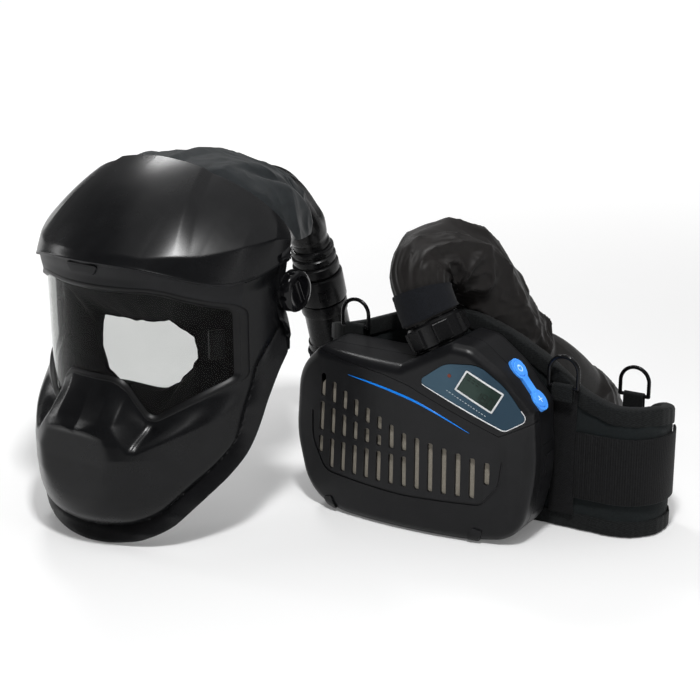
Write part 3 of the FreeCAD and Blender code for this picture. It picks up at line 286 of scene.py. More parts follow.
def twill(name, dark, pale, pitch, slant=2.2):
    """Woven tape in a herringbone: slanted ribs that turn back at each stripe."""
    material, tree, shader = new_material(name)
    parts = axes(tree, "UV")
    fold = maths(tree, "PINGPONG", parts["Y"], HERRINGBONE_STRIPE)
    lean = maths(tree, "MULTIPLY_ADD", fold, slant, parts["X"])
    ribs = maths(tree, "SINE", maths(tree, "MULTIPLY", lean, pitch * 2 * math.pi))
    spots = noise_value(tree, coordinates(tree), 700, 3, 0.7)
    both = maths(tree, "MULTIPLY_ADD", ribs, 0.16, spots)
    tree.links.new(mixed(tree, both, dark, pale), shader.inputs["Base Color"])
    settings(shader, Roughness=0.8, Sheen_Weight=0.05, Specular_IOR_Level=0.15)
    bumped(tree, shader, both, 0.8, 0.0003)
    return material


def glass(name, shade_tint):
    """Clear sheet polycarbonate with a film of smears; its grey colour is painted shade on what shows
    through it.
    """
    material, tree, shader = new_material(name)
    smear = noise_value(tree, coordinates(tree), 35, 5, 0.6)
    tree.links.new(ranged(tree, smear, 0.0, 0.02), shader.inputs["Roughness"])
    tree.links.new(mixed(tree, smear, shade_tint, tuple(min(1, c * 1.04) for c in shade_tint)),
                   shader.inputs["Base Color"])
    settings(shader, Transmission_Weight=1.0, IOR=1.12)
    return material


def metal(name, colour, rough):
    """Plated steel with fine scratches."""
    material, tree, shader = new_material(name)
    vector = coordinates(tree, (1, 1, 12))
    scratches = noise_value(tree, vector, 600, 3, 0.7)
    tree.links.new(ranged(tree, scratches, rough - 0.05, rough + 0.1), shader.inputs["Roughness"])
    tree.links.new(mixed(tree, noise_value(tree, vector, 90), colour,
                         tuple(c * 0.7 for c in colour)), shader.inputs["Base Color"])
    settings(shader, Metallic=1.0)
    bumped(tree, shader, scratches, 0.1)
    return material


def glow(name, colour, strength, rough=0.2):
    """Plastic that gives off faint light in its own colour: the status lamp's lit LED, and a painted
    glow on the keys, key marks and accent arc.
    """
    material = plastic(name, colour, rough, grain=0.02, patch=0.03)
    settings(material.node_tree.nodes["Principled BSDF"], Emission_Color=(*colour, 1),
             Emission_Strength=strength)
    return material


MATERIALS = {
    "shell_gloss": plastic("shell_gloss", (0.0028, 0.0029, 0.0034), 0.26, grain=0.02, patch=0.03,
                           worn=0.15),
    "shell_matte": plastic("shell_matte", (0.0048, 0.0050, 0.0060), 0.45, grain=0.12, worn=0.15),
    "gasket": plastic("gasket", (0.003, 0.003, 0.0034), 0.4, grain=0.1),
    # The lens's grey colour is painted shade: it darkens the bright floor seen through the helmet.
    "lens": glass("lens_clear", (0.56, 0.57, 0.56)),
    "knob": plastic("knob", (0.0025, 0.0025, 0.003), 0.14, grain=0.01, worn=0.2),
    "harness": plastic("harness", (0.008, 0.008, 0.009), 0.45, grain=0.08),
    "foam": felt("foam", (0.004, 0.004, 0.0045), (0.012, 0.012, 0.013), 900, 0.3),
    "duct": plastic("duct", (0.0040, 0.0040, 0.0044), 0.27, grain=0.03, worn=0.15),
    "casing": plastic("casing", (0.0042, 0.0043, 0.0050), 0.36, grain=0.06, grain_scale=3000,
                      worn=0.12),
    "bezel": plastic("bezel", (0.62, 0.63, 0.64), 0.35),
    "filter": felt("filter_media", (0.20, 0.18, 0.145), (0.36, 0.33, 0.28), 800, 0.1),
    "rubber": plastic("rubber", (0.005, 0.005, 0.005), 0.7, grain=0.1),
    "fan": plastic("fan", (0.10, 0.10, 0.11), 0.4),
    "board": plastic("board", (0.01, 0.10, 0.04), 0.4),
    "lamp": glow("lamp", (0.16, 0.035, 0.02), 0.05),
    # The keys, key marks and accent arc are no lamps: their emission is a painted glow.
    "key_blue": glow("key_blue", (0.06, 0.27, 0.80), 0.10, 0.3),
    "key_mark": glow("key_mark", (0.45, 0.68, 0.95), 0.1, 0.4),
    "arc_blue": glow("arc_blue", (0.0, 0.17, 0.66), 0.08, 0.35),
    "steel": metal("steel", (0.45, 0.45, 0.47), 0.3),
    "ring_wire": plastic("ring_wire", (0.003, 0.003, 0.0034), 0.2, grain=0.02, worn=0.4),
    "sleeve": cloth("sleeve", (0.0040, 0.0033, 0.0030), (0.0105, 0.0090, 0.0085), 1100, 0.55, 0.10,
                    0.25),
    "hood": cloth("hood", (0.0055, 0.0070, 0.0080), (0.014, 0.017, 0.019), 900, 0.75, 0.12, 0.35),
    "seal": cloth("seal", (0.004, 0.004, 0.0045), (0.011, 0.011, 0.012), 900, 0.9, 0.05, 0.3),
    "felt": felt("belt_felt", (0.0035, 0.0045, 0.0050), (0.017, 0.021, 0.022), 1500, 0.08),
    "binding": twill("binding", (0.0015, 0.0017, 0.0017), (0.013, 0.0145, 0.015), 300),
    "webbing": twill("webbing", (0.0015, 0.0015, 0.0018), (0.008, 0.0082, 0.009), 420, 1.0),
    "elastic": twill("elastic", (0.0018, 0.0018, 0.002), (0.010, 0.0102, 0.011), 500, 0.0),
    "cuff": twill("cuff", (0.0016, 0.0019, 0.0028), (0.0068, 0.0080, 0.0115), 500, 1.0),
    "buckle": plastic("buckle", (0.004, 0.004, 0.0045), 0.35, grain=0.06, worn=0.2),
    "ink": plastic("ink", (0.006, 0.012, 0.009), 0.4, grain=0.01),
    "print": plastic("print", (0.42, 0.47, 0.50), 0.4, grain=0.01),
}


def film(name, cad_node, ends, colours, grain_scale, grain_detail, share, rough):
    """Printed film or display glass whose colour runs across its CAD node, with a fine grain."""
    material, tree, shader = new_material(name)
    low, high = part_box(cad_node)
    slope = ranged(tree, axes(tree, "Object")["X"], *ends, (low.x, high.x))
    grain = noise_value(tree, coordinates(tree), grain_scale, grain_detail)
    both = maths(tree, "MULTIPLY_ADD", grain, share, slope)
    tree.links.new(mixed(tree, both, *colours), shader.inputs["Base Color"])
    settings(shader, Roughness=rough, Specular_IOR_Level=0.15)
    return material, tree, shader, grain


MATERIALS["label"], label_tree, label_shader, label_grain = film(
    "label", "control_label", (0, 1), ((0.045, 0.088, 0.125), (0.022, 0.050, 0.078)), 300, 4, 0.08,
    0.35)
bumped(label_tree, label_shader, label_grain, 0.02)
MATERIALS["display"] = film(
    "display", "lcd", (1, 0), ((0.010, 0.024, 0.018), (0.030, 0.050, 0.042)), 200, 3, 0.15, 0.25)[0]


# ---------------------------------------------------------------- mesh helpers
def grid_faces(rows, columns, close_rows=False, close_columns=False, start=0):
    """Quads of a grid of points stored row by row."""
    faces = []
    for i in range(rows if close_rows else rows - 1):
        for k in range(columns if close_columns else columns - 1):
            a = start + i * columns + k
            b = start + i * columns + (k + 1) % columns
            c = start + (i + 1) % rows * columns + (k + 1) % columns
            d = start + (i + 1) % rows * columns + k
            faces.append((a, b, c, d))
    return faces


def make_piece(name, points, faces, material, matrix, sharp=35.0, uv=None):
    """A smooth-shaded mesh object from local millimetre points."""
    mesh = bpy.data.meshes.new(name)
    mesh.from_pydata(place(points, matrix).tolist(), [], faces)
    mesh.update()
    if uv is not None:
        layer = mesh.uv_layers.new(name="UVMap")
        corners = np.zeros(len(mesh.loops), np.int32)
        mesh.loops.foreach_get("vertex_index", corners)
        layer.data.foreach_set("uv", np.asarray(uv, np.float32)[corners].ravel())
    mesh.shade_smooth()
    mesh.set_sharp_from_angle(angle=math.radians(sharp))
    made = new_object(name, mesh)
    mesh.materials.append(MATERIALS[material])
    return made


def edited(made, change):
    """Runs change(work) on the object's mesh as a bmesh."""
    work = bmesh.new()
    work.from_mesh(made.data)
    change(work)
    work.to_mesh(made.data)
    work.free()
    return made


def recalculate(made):
    """Turns all faces outwards."""
    return edited(made, lambda work: bmesh.ops.recalc_face_normals(work, faces=work.faces))


def apply_modifiers(made):
    """Replaces the object's mesh by its evaluated one."""
    graph = bpy.context.evaluated_depsgraph_get()
    mesh = bpy.data.meshes.new_from_object(made.evaluated_get(graph), depsgraph=graph)
    made.modifiers.clear()
    made.data = mesh
    return made


def thicken(made, thickness, offset=-1.0, sharp=35.0):
    """Gives an open sheet a wall, in millimetres."""
    solid = made.modifiers.new("wall", "SOLIDIFY")
    solid.thickness = thickness * MM
    solid.offset = offset
    solid.use_even_offset = False
    apply_modifiers(made)
    made.data.set_sharp_from_angle(angle=math.radians(sharp))
    return made


def joined(name, *objects):
    """One object from several."""
    with bpy.context.temp_override(active_object=objects[0], selected_editable_objects=objects,
                                   selected_objects=objects, object=objects[0]):
        bpy.ops.object.join()
    objects[0].name = name
    objects[0].data.name = name
    return objects[0]


def smooth_step(t):
    """Ease from 0 to 1."""
    t = np.clip(t, 0, 1)
    return t * t * (3 - 2 * t)


def gap_along(path):
    """Distance along a path at each of its points."""
    return np.concatenate([[0], np.cumsum(np.linalg.norm(np.diff(path, axis=0), axis=1))])


def resample(points, step=None, count=None, closed=False):
    """Points spaced evenly along a polyline."""
    points = np.asarray(points, float)
    if closed:
        points = np.vstack([points, points[:1]])
    along = gap_along(points)
    if count is None:
        count = max(2, int(round(along[-1] / step)) + (0 if closed else 1))
    wanted = np.linspace(0, along[-1], count, endpoint=not closed)
    return np.column_stack([np.interp(wanted, along, points[:, i]) for i in range(points.shape[1])])


def rounded_outline(corners, arc_step=3.0):
    """A closed 2-D outline with its corners (x, y, radius) rounded into arcs."""
    count = len(corners)
    points = []
    for i, (x, y, radius) in enumerate(corners):
        here = Vector((x, y))
        back = (Vector(corners[i - 1][:2]) - here).normalized()
        ahead = (Vector(corners[(i + 1) % count][:2]) - here).normalized()
        half = math.acos(max(-1, min(1, back.dot(ahead)))) / 2
        reach = radius / math.tan(half)
        centre = here + (back + ahead).normalized() * (radius / math.sin(half))
        start = here + back * reach - centre
        end = here + ahead * reach - centre
        turn = math.atan2(start.x * end.y - start.y * end.x, start.dot(end))
        steps = max(2, int(abs(turn) * radius / arc_step) + 2)
        for k in range(steps):
            t = turn * k / (steps - 1)
            points.append((centre.x + start.x * math.cos(t) - start.y * math.sin(t),
                           centre.y + start.x * math.sin(t) + start.y * math.cos(t)))
    return np.array(points)


def frames_along(path, up=(0, 0, 1)):
    """Two unit vectors across a path at each of its points, carried along without twist."""
    path = np.asarray(path, float)
    tangents = np.gradient(path, axis=0)
    tangents /= np.linalg.norm(tangents, axis=1)[:, None]
    side = np.cross(tangents[0], up)
    if np.linalg.norm(side) < 1e-3:
        side = np.cross(tangents[0], (1, 0, 0))
    side /= np.linalg.norm(side)
    sides = []
    for tangent in tangents:
        side = side - tangent * (side @ tangent)
        side /= np.linalg.norm(side)
        sides.append(side)
    sides = np.array(sides)
    return sides, np.cross(tangents, sides), tangents


def rings(across, upward, turns):
    """Unit vectors round a path at each of its points."""
    return (across[:, None] * np.cos(turns)[None, :, None]
            + upward[:, None] * np.sin(turns)[None, :, None])


def tube(name, path, radius, material, matrix, sides=48, capped=True, sharp=35.0):
    """A round tube along a path; radius is a number or one for each point, or a full table."""
    path = np.asarray(path, float)
    across, upward, _ = frames_along(path)
    table = np.zeros((len(path), sides)) + np.asarray(radius, float).reshape(
        (len(path), -1) if np.ndim(radius) else (1, 1))
    turns = np.linspace(0, 2 * math.pi, sides, endpoint=False)
    points = path[:, None] + rings(across, upward, turns) * table[:, :, None]
    faces = grid_faces(len(path), sides, close_columns=True)
    if capped:
        faces.append(tuple(range(sides)))
        faces.append(tuple(len(path) * sides - 1 - i for i in range(sides)))
    girth = float(np.mean(table)) * 2 * math.pi
    uv = np.array([(s * MM, girth * k / sides * MM) for s in gap_along(path)
                   for k in range(sides)])
    made = make_piece(name, points.reshape(-1, 3), faces, material, matrix, sharp, uv)
    return recalculate(made)


def lathe(name, profile, base, axis, material, matrix, steps=96, lobes=None, sharp=30.0):
    """A closed turned solid; profile holds (radius, distance along the axis), lobes shapes it."""
    axis = Vector(axis).normalized()
    turn = Vector((0, 0, 1)).rotation_difference(axis)
    points = []
    for radius, along in profile:
        for k in range(steps):
            t = 2 * math.pi * k / steps
            r = radius + (lobes(t, radius, along) if lobes else 0.0)
            spot = turn @ Vector((r * math.cos(t), r * math.sin(t), along)) + Vector(base)
            points.append(tuple(spot))
    closed = profile[0] != profile[-1] and profile[0][0] > 0.01 and profile[-1][0] > 0.01
    faces = grid_faces(len(profile), steps, close_rows=closed, close_columns=True)
    made = make_piece(name, points, faces, material, matrix, sharp)
    edited(made, lambda work: bmesh.ops.remove_doubles(work, verts=work.verts, dist=0.00001))
    recalculate(made)
    made.data.set_sharp_from_angle(angle=math.radians(sharp))
    return made


def soft_box(name, low, high, radius, material, matrix, segments=4, turn=None):
    """A box with rounded edges between two corners, optionally turned by a matrix."""
    low = Vector(low)
    high = Vector(high)
    work = bmesh.new()
    bmesh.ops.create_cube(work, size=1)
    size = high - low
    centre = (low + high) / 2
    for v in work.verts:
        v.co = Vector((v.co.x * size.x, v.co.y * size.y, v.co.z * size.z)) + centre
        if turn is not None:
            v.co = turn @ v.co
    bmesh.ops.bevel(work, geom=work.edges[:], offset=radius, segments=segments, profile=0.5,
                    affect="EDGES", clamp_overlap=True)
    mesh = bpy.data.meshes.new(name)
    work.to_mesh(mesh)
    work.free()
    mesh.transform(matrix)
    mesh.shade_smooth()
    mesh.set_sharp_from_angle(angle=math.radians(50))
    made = new_object(name, mesh)
    mesh.materials.append(MATERIALS[material])
    return made


def ride(made, body, replaces=()):
    """Rides a piece on its body and hides the CAD nodes it stands for."""
    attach(made, body)
    if replaces:
        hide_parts(*replaces)
    return made


# ---------------------------------------------------------------- hose
def route_curve():
    """The route as a spline, in metres."""
    data = bpy.data.curves.new("breathing_hose", "CURVE")
    data.dimensions = "3D"
    spline = data.splines.new("NURBS")
    spline.points.add(len(HOSE_ROUTE) - 1)
    for point, spot in zip(spline.points, place(HOSE_ROUTE, BLOWER)):
        point.co = (*spot, 1)
    spline.order_u = 3
    spline.use_endpoint_u = True
    spline.resolution_u = 12
    data.resolution_u = 12
    return new_object("breathing_hose", data)


def line_of(made):
    """The points of a curve's own line, in metres, before it has a bevel."""
    mesh = bpy.data.meshes.new_from_object(made)
    points = np.array([v.co for v in mesh.vertices])
    bpy.data.meshes.remove(mesh)
    return points


HOSE = route_curve()
HOSE_LINE = resample(place(line_of(HOSE), BLOWER.inverted()), step=1.5)
HOSE_ACROSS, HOSE_UP, HOSE_AHEAD = frames_along(HOSE_LINE, (0, 1, 0))


def fractal(points, scale, octaves=3, offset=0.0):
    """Smooth noise at many points, about -1 to 1."""
    shift = Vector((offset, -offset, offset * 0.5))
    return np.array([noise.fractal(Vector(p) * scale + shift, 1.0, 2.0, octaves)
                     for p in points])


def ridged(points, scale, offset=0.0):
    """Fold-like noise: sharp crests between soft hollows, 0 to 1."""
    shift = Vector((offset, offset, -offset))
    return np.array([1 - min(1.0, abs(noise.noise(Vector(p) * scale + shift)) * 2.4)
                     for p in points])


def make_sleeve():
    """The fabric sleeve over the whole hose, gathered at the blower's cuff, creased on bends."""
    along = gap_along(HOSE_LINE)
    total = along[-1]
    sides = SLEEVE_SIDES
    turns = np.linspace(0, 2 * math.pi, sides, endpoint=False)
    radius = np.interp(along, [0, 24, 34, 48, 80, 120, 170, 250, 380, 520, total - 60,
                               total - 26, total],
                       [23.2, 23.4, 25.2, 27.0, 28.0, 28.5, 28.0, 26.5, 25, 24.5, 25.5, 23.6, 23.2])
    around = np.stack([np.cos(turns), np.sin(turns)], 1)
    spots = np.array([(c * 26, s * 26, a + 16 * c) for a in along for c, s in around])
    stretched = spots * np.array([1.0, 1.0, 0.42])
    crossed = np.stack([spots[:, 0] * 0.8 + spots[:, 2] * 0.5, spots[:, 1] * 0.9,
                        spots[:, 2] * 0.55 - spots[:, 0] * 0.3], 1)
    sharp_folds = (ridged(stretched, 0.026, 3.1) ** 2 - 0.3) * 5.0
    folds = (sharp_folds + (ridged(crossed, 0.050, 9.7) ** 2 - 0.3) * 3.2
             + (ridged(crossed, 0.105, 21.3) ** 2 - 0.3) * 1.1
             + 2.2 * fractal(spots, 0.018, 2, 4.0)).reshape(len(along), sides)
    bend = np.linalg.norm(np.gradient(HOSE_AHEAD, along, axis=0), axis=1)
    calm = smooth_step((along - 24) / 22)[:, None] * smooth_step((total - 24 - along) / 22)[:, None]
    gather = np.sin(turns * 19)[None, :] * 0.5
    gather = gather * np.exp(-((along - 30) / 12) ** 2)[:, None]
    strength = np.interp(bend, [0.0, 0.02], [0.55, 1.25])[:, None]
    table = radius[:, None] + folds * calm * strength + gather
    passing = PASS_RADIUS + 14 * smooth_step((np.abs(along - PASS_AT) - PASS_HALF) / 26)
    table = np.minimum(table, passing[:, None] + 0.08 * folds)
    points = HOSE_LINE[:, None] + rings(HOSE_ACROSS, HOSE_UP, turns) * table[:, :, None]
    points[:, :, 2] = np.maximum(points[:, :, 2], 0.6)
    sag = ARCH_SAG * smooth_step((along - 34) / 36) * smooth_step((230 - along) / 110)
    points[:, :, 2] -= sag[:, None]
    inner = HOSE_LINE[:, None] + (points - HOSE_LINE[:, None]) * (1 - CLOTH_WALL / table[:, :, None])
    uv = np.array([(a * MM, 0.028 * t) for a in along for t in turns])
    return make_piece("hose_sleeve", np.concatenate([points, inner[::-1]]).reshape(-1, 3),
                      grid_faces(2 * len(along), sides, True, True), "sleeve", BLOWER, 60,
                      np.concatenate([uv, uv]))


def cuff(name, start, end, radius):
    """A woven cuff with raised hems round the sleeve, between two distances along the hose."""
    along = gap_along(HOSE_LINE)
    chosen = (along >= start) & (along <= end)
    path = HOSE_LINE[chosen]
    s = (along[chosen] - start) / (end - start)
    hem = 0.5 * (np.exp(-((s - 0.08) / 0.05) ** 2) + np.exp(-((s - 0.92) / 0.05) ** 2))
    turns = np.linspace(0, 2 * math.pi, CUFF_SIDES, endpoint=False)
    wave = 0.35 * np.sin(turns * 5 + 1)[None, :] * s[:, None]
    table = radius + hem[:, None] + wave
    both = np.vstack([path, path[::-1]])
    across, upward, _ = frames_along(path)
    ring = rings(across, upward, turns)
    ring = np.concatenate([ring, ring[::-1]])
    table = np.concatenate([table, table[::-1] - CUFF_WALL])
    points = both[:, None] + ring * table[:, :, None]
    uv = np.array([(a * MM, 25 * t * MM) for a in np.concatenate([along[chosen],
                                                                  along[chosen][::-1]])
                   for t in turns])
    made = make_piece(name, points.reshape(-1, 3), grid_faces(len(both), CUFF_SIDES, True, True),
                      "cuff", BLOWER, 60, uv)
    return recalculate(made)


LINE_LENGTH = gap_along(HOSE_LINE)[-1]
SLEEVE = ride(make_sleeve(), "root")
CUFF_LOW = ride(cuff("sleeve_cuff_blower", 1.0, 25.0, 25.2), "root")
CUFF_HIGH = ride(cuff("sleeve_cuff_helmet", LINE_LENGTH - 24, LINE_LENGTH - 1.0, 25.0), "root")
HOSE.data.bevel_depth = INNER_HOSE_RADIUS * MM
HOSE.data.bevel_resolution = 6
HOSE.data.use_fill_caps = True
HOSE.data.materials.append(MATERIALS["rubber"])
ride(HOSE, "root", ["hose"])

# ---------------------------------------------------------------- helmet surfaces
WINDOW = rounded_outline([(-104, 199, 9), (-60, 216, 60), (60, 216, 60), (104, 199, 9),
                          (104, 140, 9), (52, 106, 9), (29, 140, 16), (-29, 140, 16),
                          (-52, 106, 9), (-104, 140, 9)], 2.0)
EDGE_ANGLE = 97.0
CROWN_ROWS = 74
SIDE_ROWS = 176
SHELL_WALL = 2.8
LENS_DEPTH = 3.2
LENS_THICK = 1.6


def half_width(z):
    """Half width of the helmet's side surface at a height."""
    return np.interp(z, [0, 40, 100, 150, 245], [104, 110, 114, 115, 115])


def half_depth(z):
    """Half depth of the plain surface that the window lies in."""
    return np.interp(z, [0, 100, 140, 225, 245], [112, 115, 116, 118, 121])


def plain(x, z):
    """Point and outward normal of the plain surface at x and z."""
    wide = half_width(z)
    deep = half_depth(z)
    ratio = np.clip(x / wide, -0.999, 0.999)
    y = -deep * np.sqrt(1 - ratio ** 2)
    normal = np.stack([x / wide ** 2, y / deep ** 2, np.zeros_like(y)], -1)
    normal /= np.linalg.norm(normal, axis=-1)[..., None]
    return np.stack([x + 0 * y, y, z + 0 * y], -1), normal


def ridge_height(angle):
    """Height of the crease between crown and brow band."""
    part = (np.abs(angle) / EDGE_ANGLE) ** 1.45
    return 240 - 18 * (1 - np.cos(2 * math.pi * part)) / 2 - 5 * part ** 4


def rim_height(angle):
    """Height of the free lower and rear rim."""
    return np.interp(np.abs(angle), [0, 14, 28, 36, 43, 53, 64, 72, 76, 81, 90, 97],
                     [0, 1.5, 6, 12.5, 20, 40, 60, 79, 105, 137, 160, 186])


def softer(values, width):
    """Moving average over the ends-padded array, to ease a table's corners."""
    kernel = np.hanning(width + 2)[1:-1]
    kernel /= kernel.sum()
    padded = np.pad(values, width // 2, mode="edge")
    return np.convolve(padded, kernel, mode="valid")[:len(values)]


ANGLES = np.linspace(-EDGE_ANGLE, EDGE_ANGLE, 289)
RIDGE = ridge_height(ANGLES)
RIM = softer(rim_height(ANGLES), 15)
DEGREE_RUN = 2.02


def rim_distance(angle, height):
    """Distance over the surface to the free rim, and the nearest rim point's height."""
    line = np.stack([ANGLES * DEGREE_RUN, RIM], 1)
    line = resample(line, step=1.0)
    spots = np.stack([angle * DEGREE_RUN, height], -1).reshape(-1, 2)
    best = np.full(len(spots), 1e9)
    level = np.zeros(len(spots))
    for chunk in range(0, len(spots), 4000):
        part = spots[chunk:chunk + 4000]
        gaps = np.linalg.norm(part[:, None] - line[None], axis=2)
        nearest = gaps.argmin(1)
        best[chunk:chunk + 4000] = gaps[np.arange(len(part)), nearest]
        level[chunk:chunk + 4000] = line[nearest, 1]
    return best.reshape(height.shape), level.reshape(height.shape)


def muzzle_depth(x, angle, z):
    """Depth in front of the tilt axis of the moulded body below the window."""
    round_deep = np.interp(z, [0, 12, 28, 45, 62, 80, 98, 118, 140],
                           [131, 136.5, 141, 143, 143.5, 142.5, 139.5, 135.5, 130])
    bulge = 9 * np.exp(-(x / 56) ** 2) * np.interp(z, [8, 34, 60, 80, 92, 108],
                                                   [0, 0.25, 0.85, 1, 0.7, 0])
    body = round_deep * np.cos(np.radians(angle)) + bulge
    facet = np.interp(z, [0, 30, 48, 74, 96, 112], [152, 148, 144.5, 140.5, 138.5, 147])
    soft = np.interp(z, [30, 60, 96], [3.0, 1.4, 0.7])
    gap = np.abs(body - facet)
    return np.minimum(body, facet) - soft * np.log1p(np.exp(-gap / soft))


def side_surface(angle, z):
    """The moulded side: window band, ledge under the window, muzzle, tucked crease and flange."""
    x = half_width(z) * np.sin(np.radians(angle))
    point, normal = plain(x, z)
    reach = np.abs(x)
    sill = np.interp(reach, [0, 22, 34, 50, 54, 104, 115], [140, 140, 133, 108, 107, 140, 147])
    run = np.interp(reach, [0, 52, 104, 115], [42, 21, 30, 34])
    part = np.clip((sill - z) / run, 0, 1)
    nose = np.exp(-(x / 34) ** 2)
    share = part * nose + smooth_step(part) * (1 - nose)
    body = muzzle_depth(x, angle, z)
    ahead = np.maximum(body + point[..., 1], 0) * share
    point = point - np.stack([0 * ahead, ahead, 0 * ahead], -1)
    distance, level = rim_distance(angle, z)
    crease = np.interp(level, [0, 60, 90, 107, 137, 160, 186], [14, 13, 12, 14, 20, 17, 10])
    front = np.cos(np.radians(np.clip(np.abs(angle) * 90 / 74, 0, 90))) ** 2
    tuck = 2.6 + 13.5 * front
    flare = 3.4 - 6.5 * front
    inside = np.clip((distance - crease) / (8 + 14 * front), 0, 1)
    rolled = -tuck * (1 - np.sqrt(np.maximum(0, 1 - (1 - inside) ** 2)))
    outside = np.clip(1 - distance / crease, 0, 1)
    lip = -tuck + (tuck + flare) * outside ** 0.85
    shift = np.where(distance < crease, lip, rolled)
    band = 1.9 * smooth_step((z - ridge_height(angle) + 16) / 14)
    return point + normal * (shift + band)[..., None]


def crown_surface(angle, part):
    """The crown, from the ridge (part 0) to its free rear edge (part 1)."""
    turn = np.radians(angle * 90 / EDGE_ANGLE)
    lift = np.maximum(0, np.cos(turn)) ** 0.88
    high = np.stack([112 * np.sign(angle) * np.abs(np.sin(turn)) ** 0.95, 15 - 36 * lift,
                     240 + 5 * (1 - lift) ** 4 + 64 * lift], -1)
    z = ridge_height(angle)
    low, normal = plain(half_width(z) * np.sin(np.radians(angle)), z)
    low = low + normal * 4.6
    chord = low + (high - low) * part[..., None]
    sway = np.maximum(0, np.cos(turn))
    swell = 6.5 * sway * 4 * part * (1 - part)
    spread = np.abs(angle)
    crest = np.interp(spread, [0, 25, 45, 60, 75, 90, 97], [0.045, 0.07, 0.17, 0.31, 0.44, 0.5, 0.5])
    tall = np.interp(spread, [0, 25, 45, 60, 75, 90, 97], [0.8, 2.2, 5.2, 8.0, 7.6, 3.2, 0.8])
    rise = part / crest
    fall = (1 - part) / (1 - crest)
    gap = np.abs(rise - fall)
    tent = np.minimum(rise, fall) - 0.035 * np.log1p(np.exp(-gap / 0.035))
    step_at = 78 - 30 * part
    plateau = np.clip((step_at + 4.5 - np.abs(chord[..., 0])) / 9, 0, 1)
    fade = smooth_step((part - 0.06) / 0.6)
    spine = np.clip(1 - np.abs(chord[..., 0]) / step_at, 0, 1)
    raised = 2.7 * plateau * fade + 2.0 * spine * part * plateau
    out = np.stack([0.6 * np.sin(np.radians(angle)), -0.5 * np.cos(np.radians(angle)),
                    0.72 + 0 * angle], -1)
    out /= np.linalg.norm(out, axis=-1)[..., None]
    return chord + out * (swell + tall * np.maximum(tent, 0) + raised)[..., None]


def outline_gap(x, z, outline):
    """Signed distance to a closed outline, negative inside, and the nearest point on it."""
    spots = np.stack([x, z], -1).reshape(-1, 2)
    ahead = np.roll(outline, -1, axis=0) - outline
    gap = np.full(len(spots), 1e9)
    nearest = np.zeros_like(spots)
    inside = np.zeros(len(spots), bool)
    for a, d in zip(outline, ahead):
        t = np.clip(((spots - a) @ d) / (d @ d), 0, 1)
        foot = a + t[:, None] * d
        far = np.linalg.norm(spots - foot, axis=1)
        closer = far < gap
        gap[closer] = far[closer]
        nearest[closer] = foot[closer]
        b = a + d
        crosses = (a[1] > spots[:, 1]) != (b[1] > spots[:, 1])
        if abs(d[1]) > 1e-9:
            at = a[0] + (spots[:, 1] - a[1]) / d[1] * d[0]
            inside ^= crosses & (spots[:, 0] < at)
    gap[inside] *= -1
    return gap.reshape(x.shape), nearest.reshape(*x.shape, 2)


def open_window(points):
    """Moves the grid's points beside the window onto its outline; returns them and a sign grid."""
    front = points[..., 1] < 0
    gap, foot = outline_gap(points[..., 0], points[..., 2], WINDOW)
    gap = np.where(front, gap, 99.0)
    sign = np.sign(gap)
    snapped = np.zeros(gap.shape, bool)
    for axis in (0, 1):
        first = [slice(None), slice(None)]
        second = [slice(None), slice(None)]
        first[axis] = slice(0, -1)
        second[axis] = slice(1, None)
        first = tuple(first)
        second = tuple(second)
        crossing = sign[first] * sign[second] < 0
        nearer = np.abs(gap[first]) <= np.abs(gap[second])
        snapped[first] |= crossing & nearer
        snapped[second] |= crossing & ~nearer
    on_line, _ = plain(foot[..., 0], foot[..., 1])
    moved = np.where(snapped[..., None], on_line, points)
    return moved, np.where(snapped, 0, sign)


def make_helmet():
    """Crown, brow ridge and side in one moulding, thickened inwards."""
    crown_rows = CROWN_ROWS
    side_rows = SIDE_ROWS
    parts = np.linspace(1, 0, crown_rows)
    angles = np.tile(ANGLES, (crown_rows, 1))
    crown = crown_surface(angles, np.tile(parts[:, None], (1, len(ANGLES))))
    base, normal = plain(half_width(RIDGE) * np.sin(np.radians(ANGLES)), RIDGE)
    brow = []
    for out, drop in ((5.0, 0.4), (5.05, 1.0), (4.9, 1.6), (4.3, 2.1), (3.0, 2.3), (2.2, 2.6)):
        row = base + normal * out
        row[:, 2] -= drop
        brow.append(row)
    parts = np.linspace(0, 1, side_rows)[:, None]
    top = RIDGE[None] - 3.2
    heights = top + (RIM[None] - top) * parts
    side = side_surface(np.tile(ANGLES, (side_rows, 1)), heights)
    side, sign = open_window(side)
    points = np.concatenate([crown, np.array(brow), side])
    signs = np.concatenate([np.ones((crown_rows + len(brow), len(ANGLES))), sign])
    flat_sign = signs.ravel()
    faces = []
    for face in grid_faces(points.shape[0], points.shape[1]):
        marks = [flat_sign[i] for i in face]
        if max(marks) <= 0:
            continue
        if min(marks) < 0:
            inner = marks.index(-1)
            kept = [face[(inner + k) % 4] for k in (1, 2, 3)]
            if max(flat_sign[i] for i in kept) > 0:
                faces.append(tuple(kept))
            continue
        faces.append(face)
    made = make_piece("helmet_body", points.reshape(-1, 3), faces, "shell_gloss", HELMET, 42)
    work = bmesh.new()
    work.from_mesh(made.data)
    loose = [v for v in work.verts if not v.link_faces]
    bmesh.ops.delete(work, geom=loose, context="VERTS")
    work.normal_update()
    outward = sum(f.normal.dot(f.calc_center_median() - HELMET @ Vector((0, 0, 150)))
                  for f in work.faces)
    if outward < 0:
        bmesh.ops.reverse_faces(work, faces=work.faces)
    work.to_mesh(made.data)
    work.free()
    made.data.materials.append(MATERIALS["shell_matte"])
    ridge_low = RIDGE.min()
    inverse = HELMET.inverted()
    for face in made.data.polygons:
        spot = inverse @ face.center
        angle = math.degrees(math.atan2(spot.x / 115, -spot.y / 118))
        below = spot.z < ridge_height(angle) - 1.2
        band = abs(angle) < 66 and spot.z > 196 and below
        face.material_index = 1 if band or (below and spot.z > ridge_low and abs(angle) < 60) else 0
    thicken(made, SHELL_WALL, -1.0, 42)
    return made


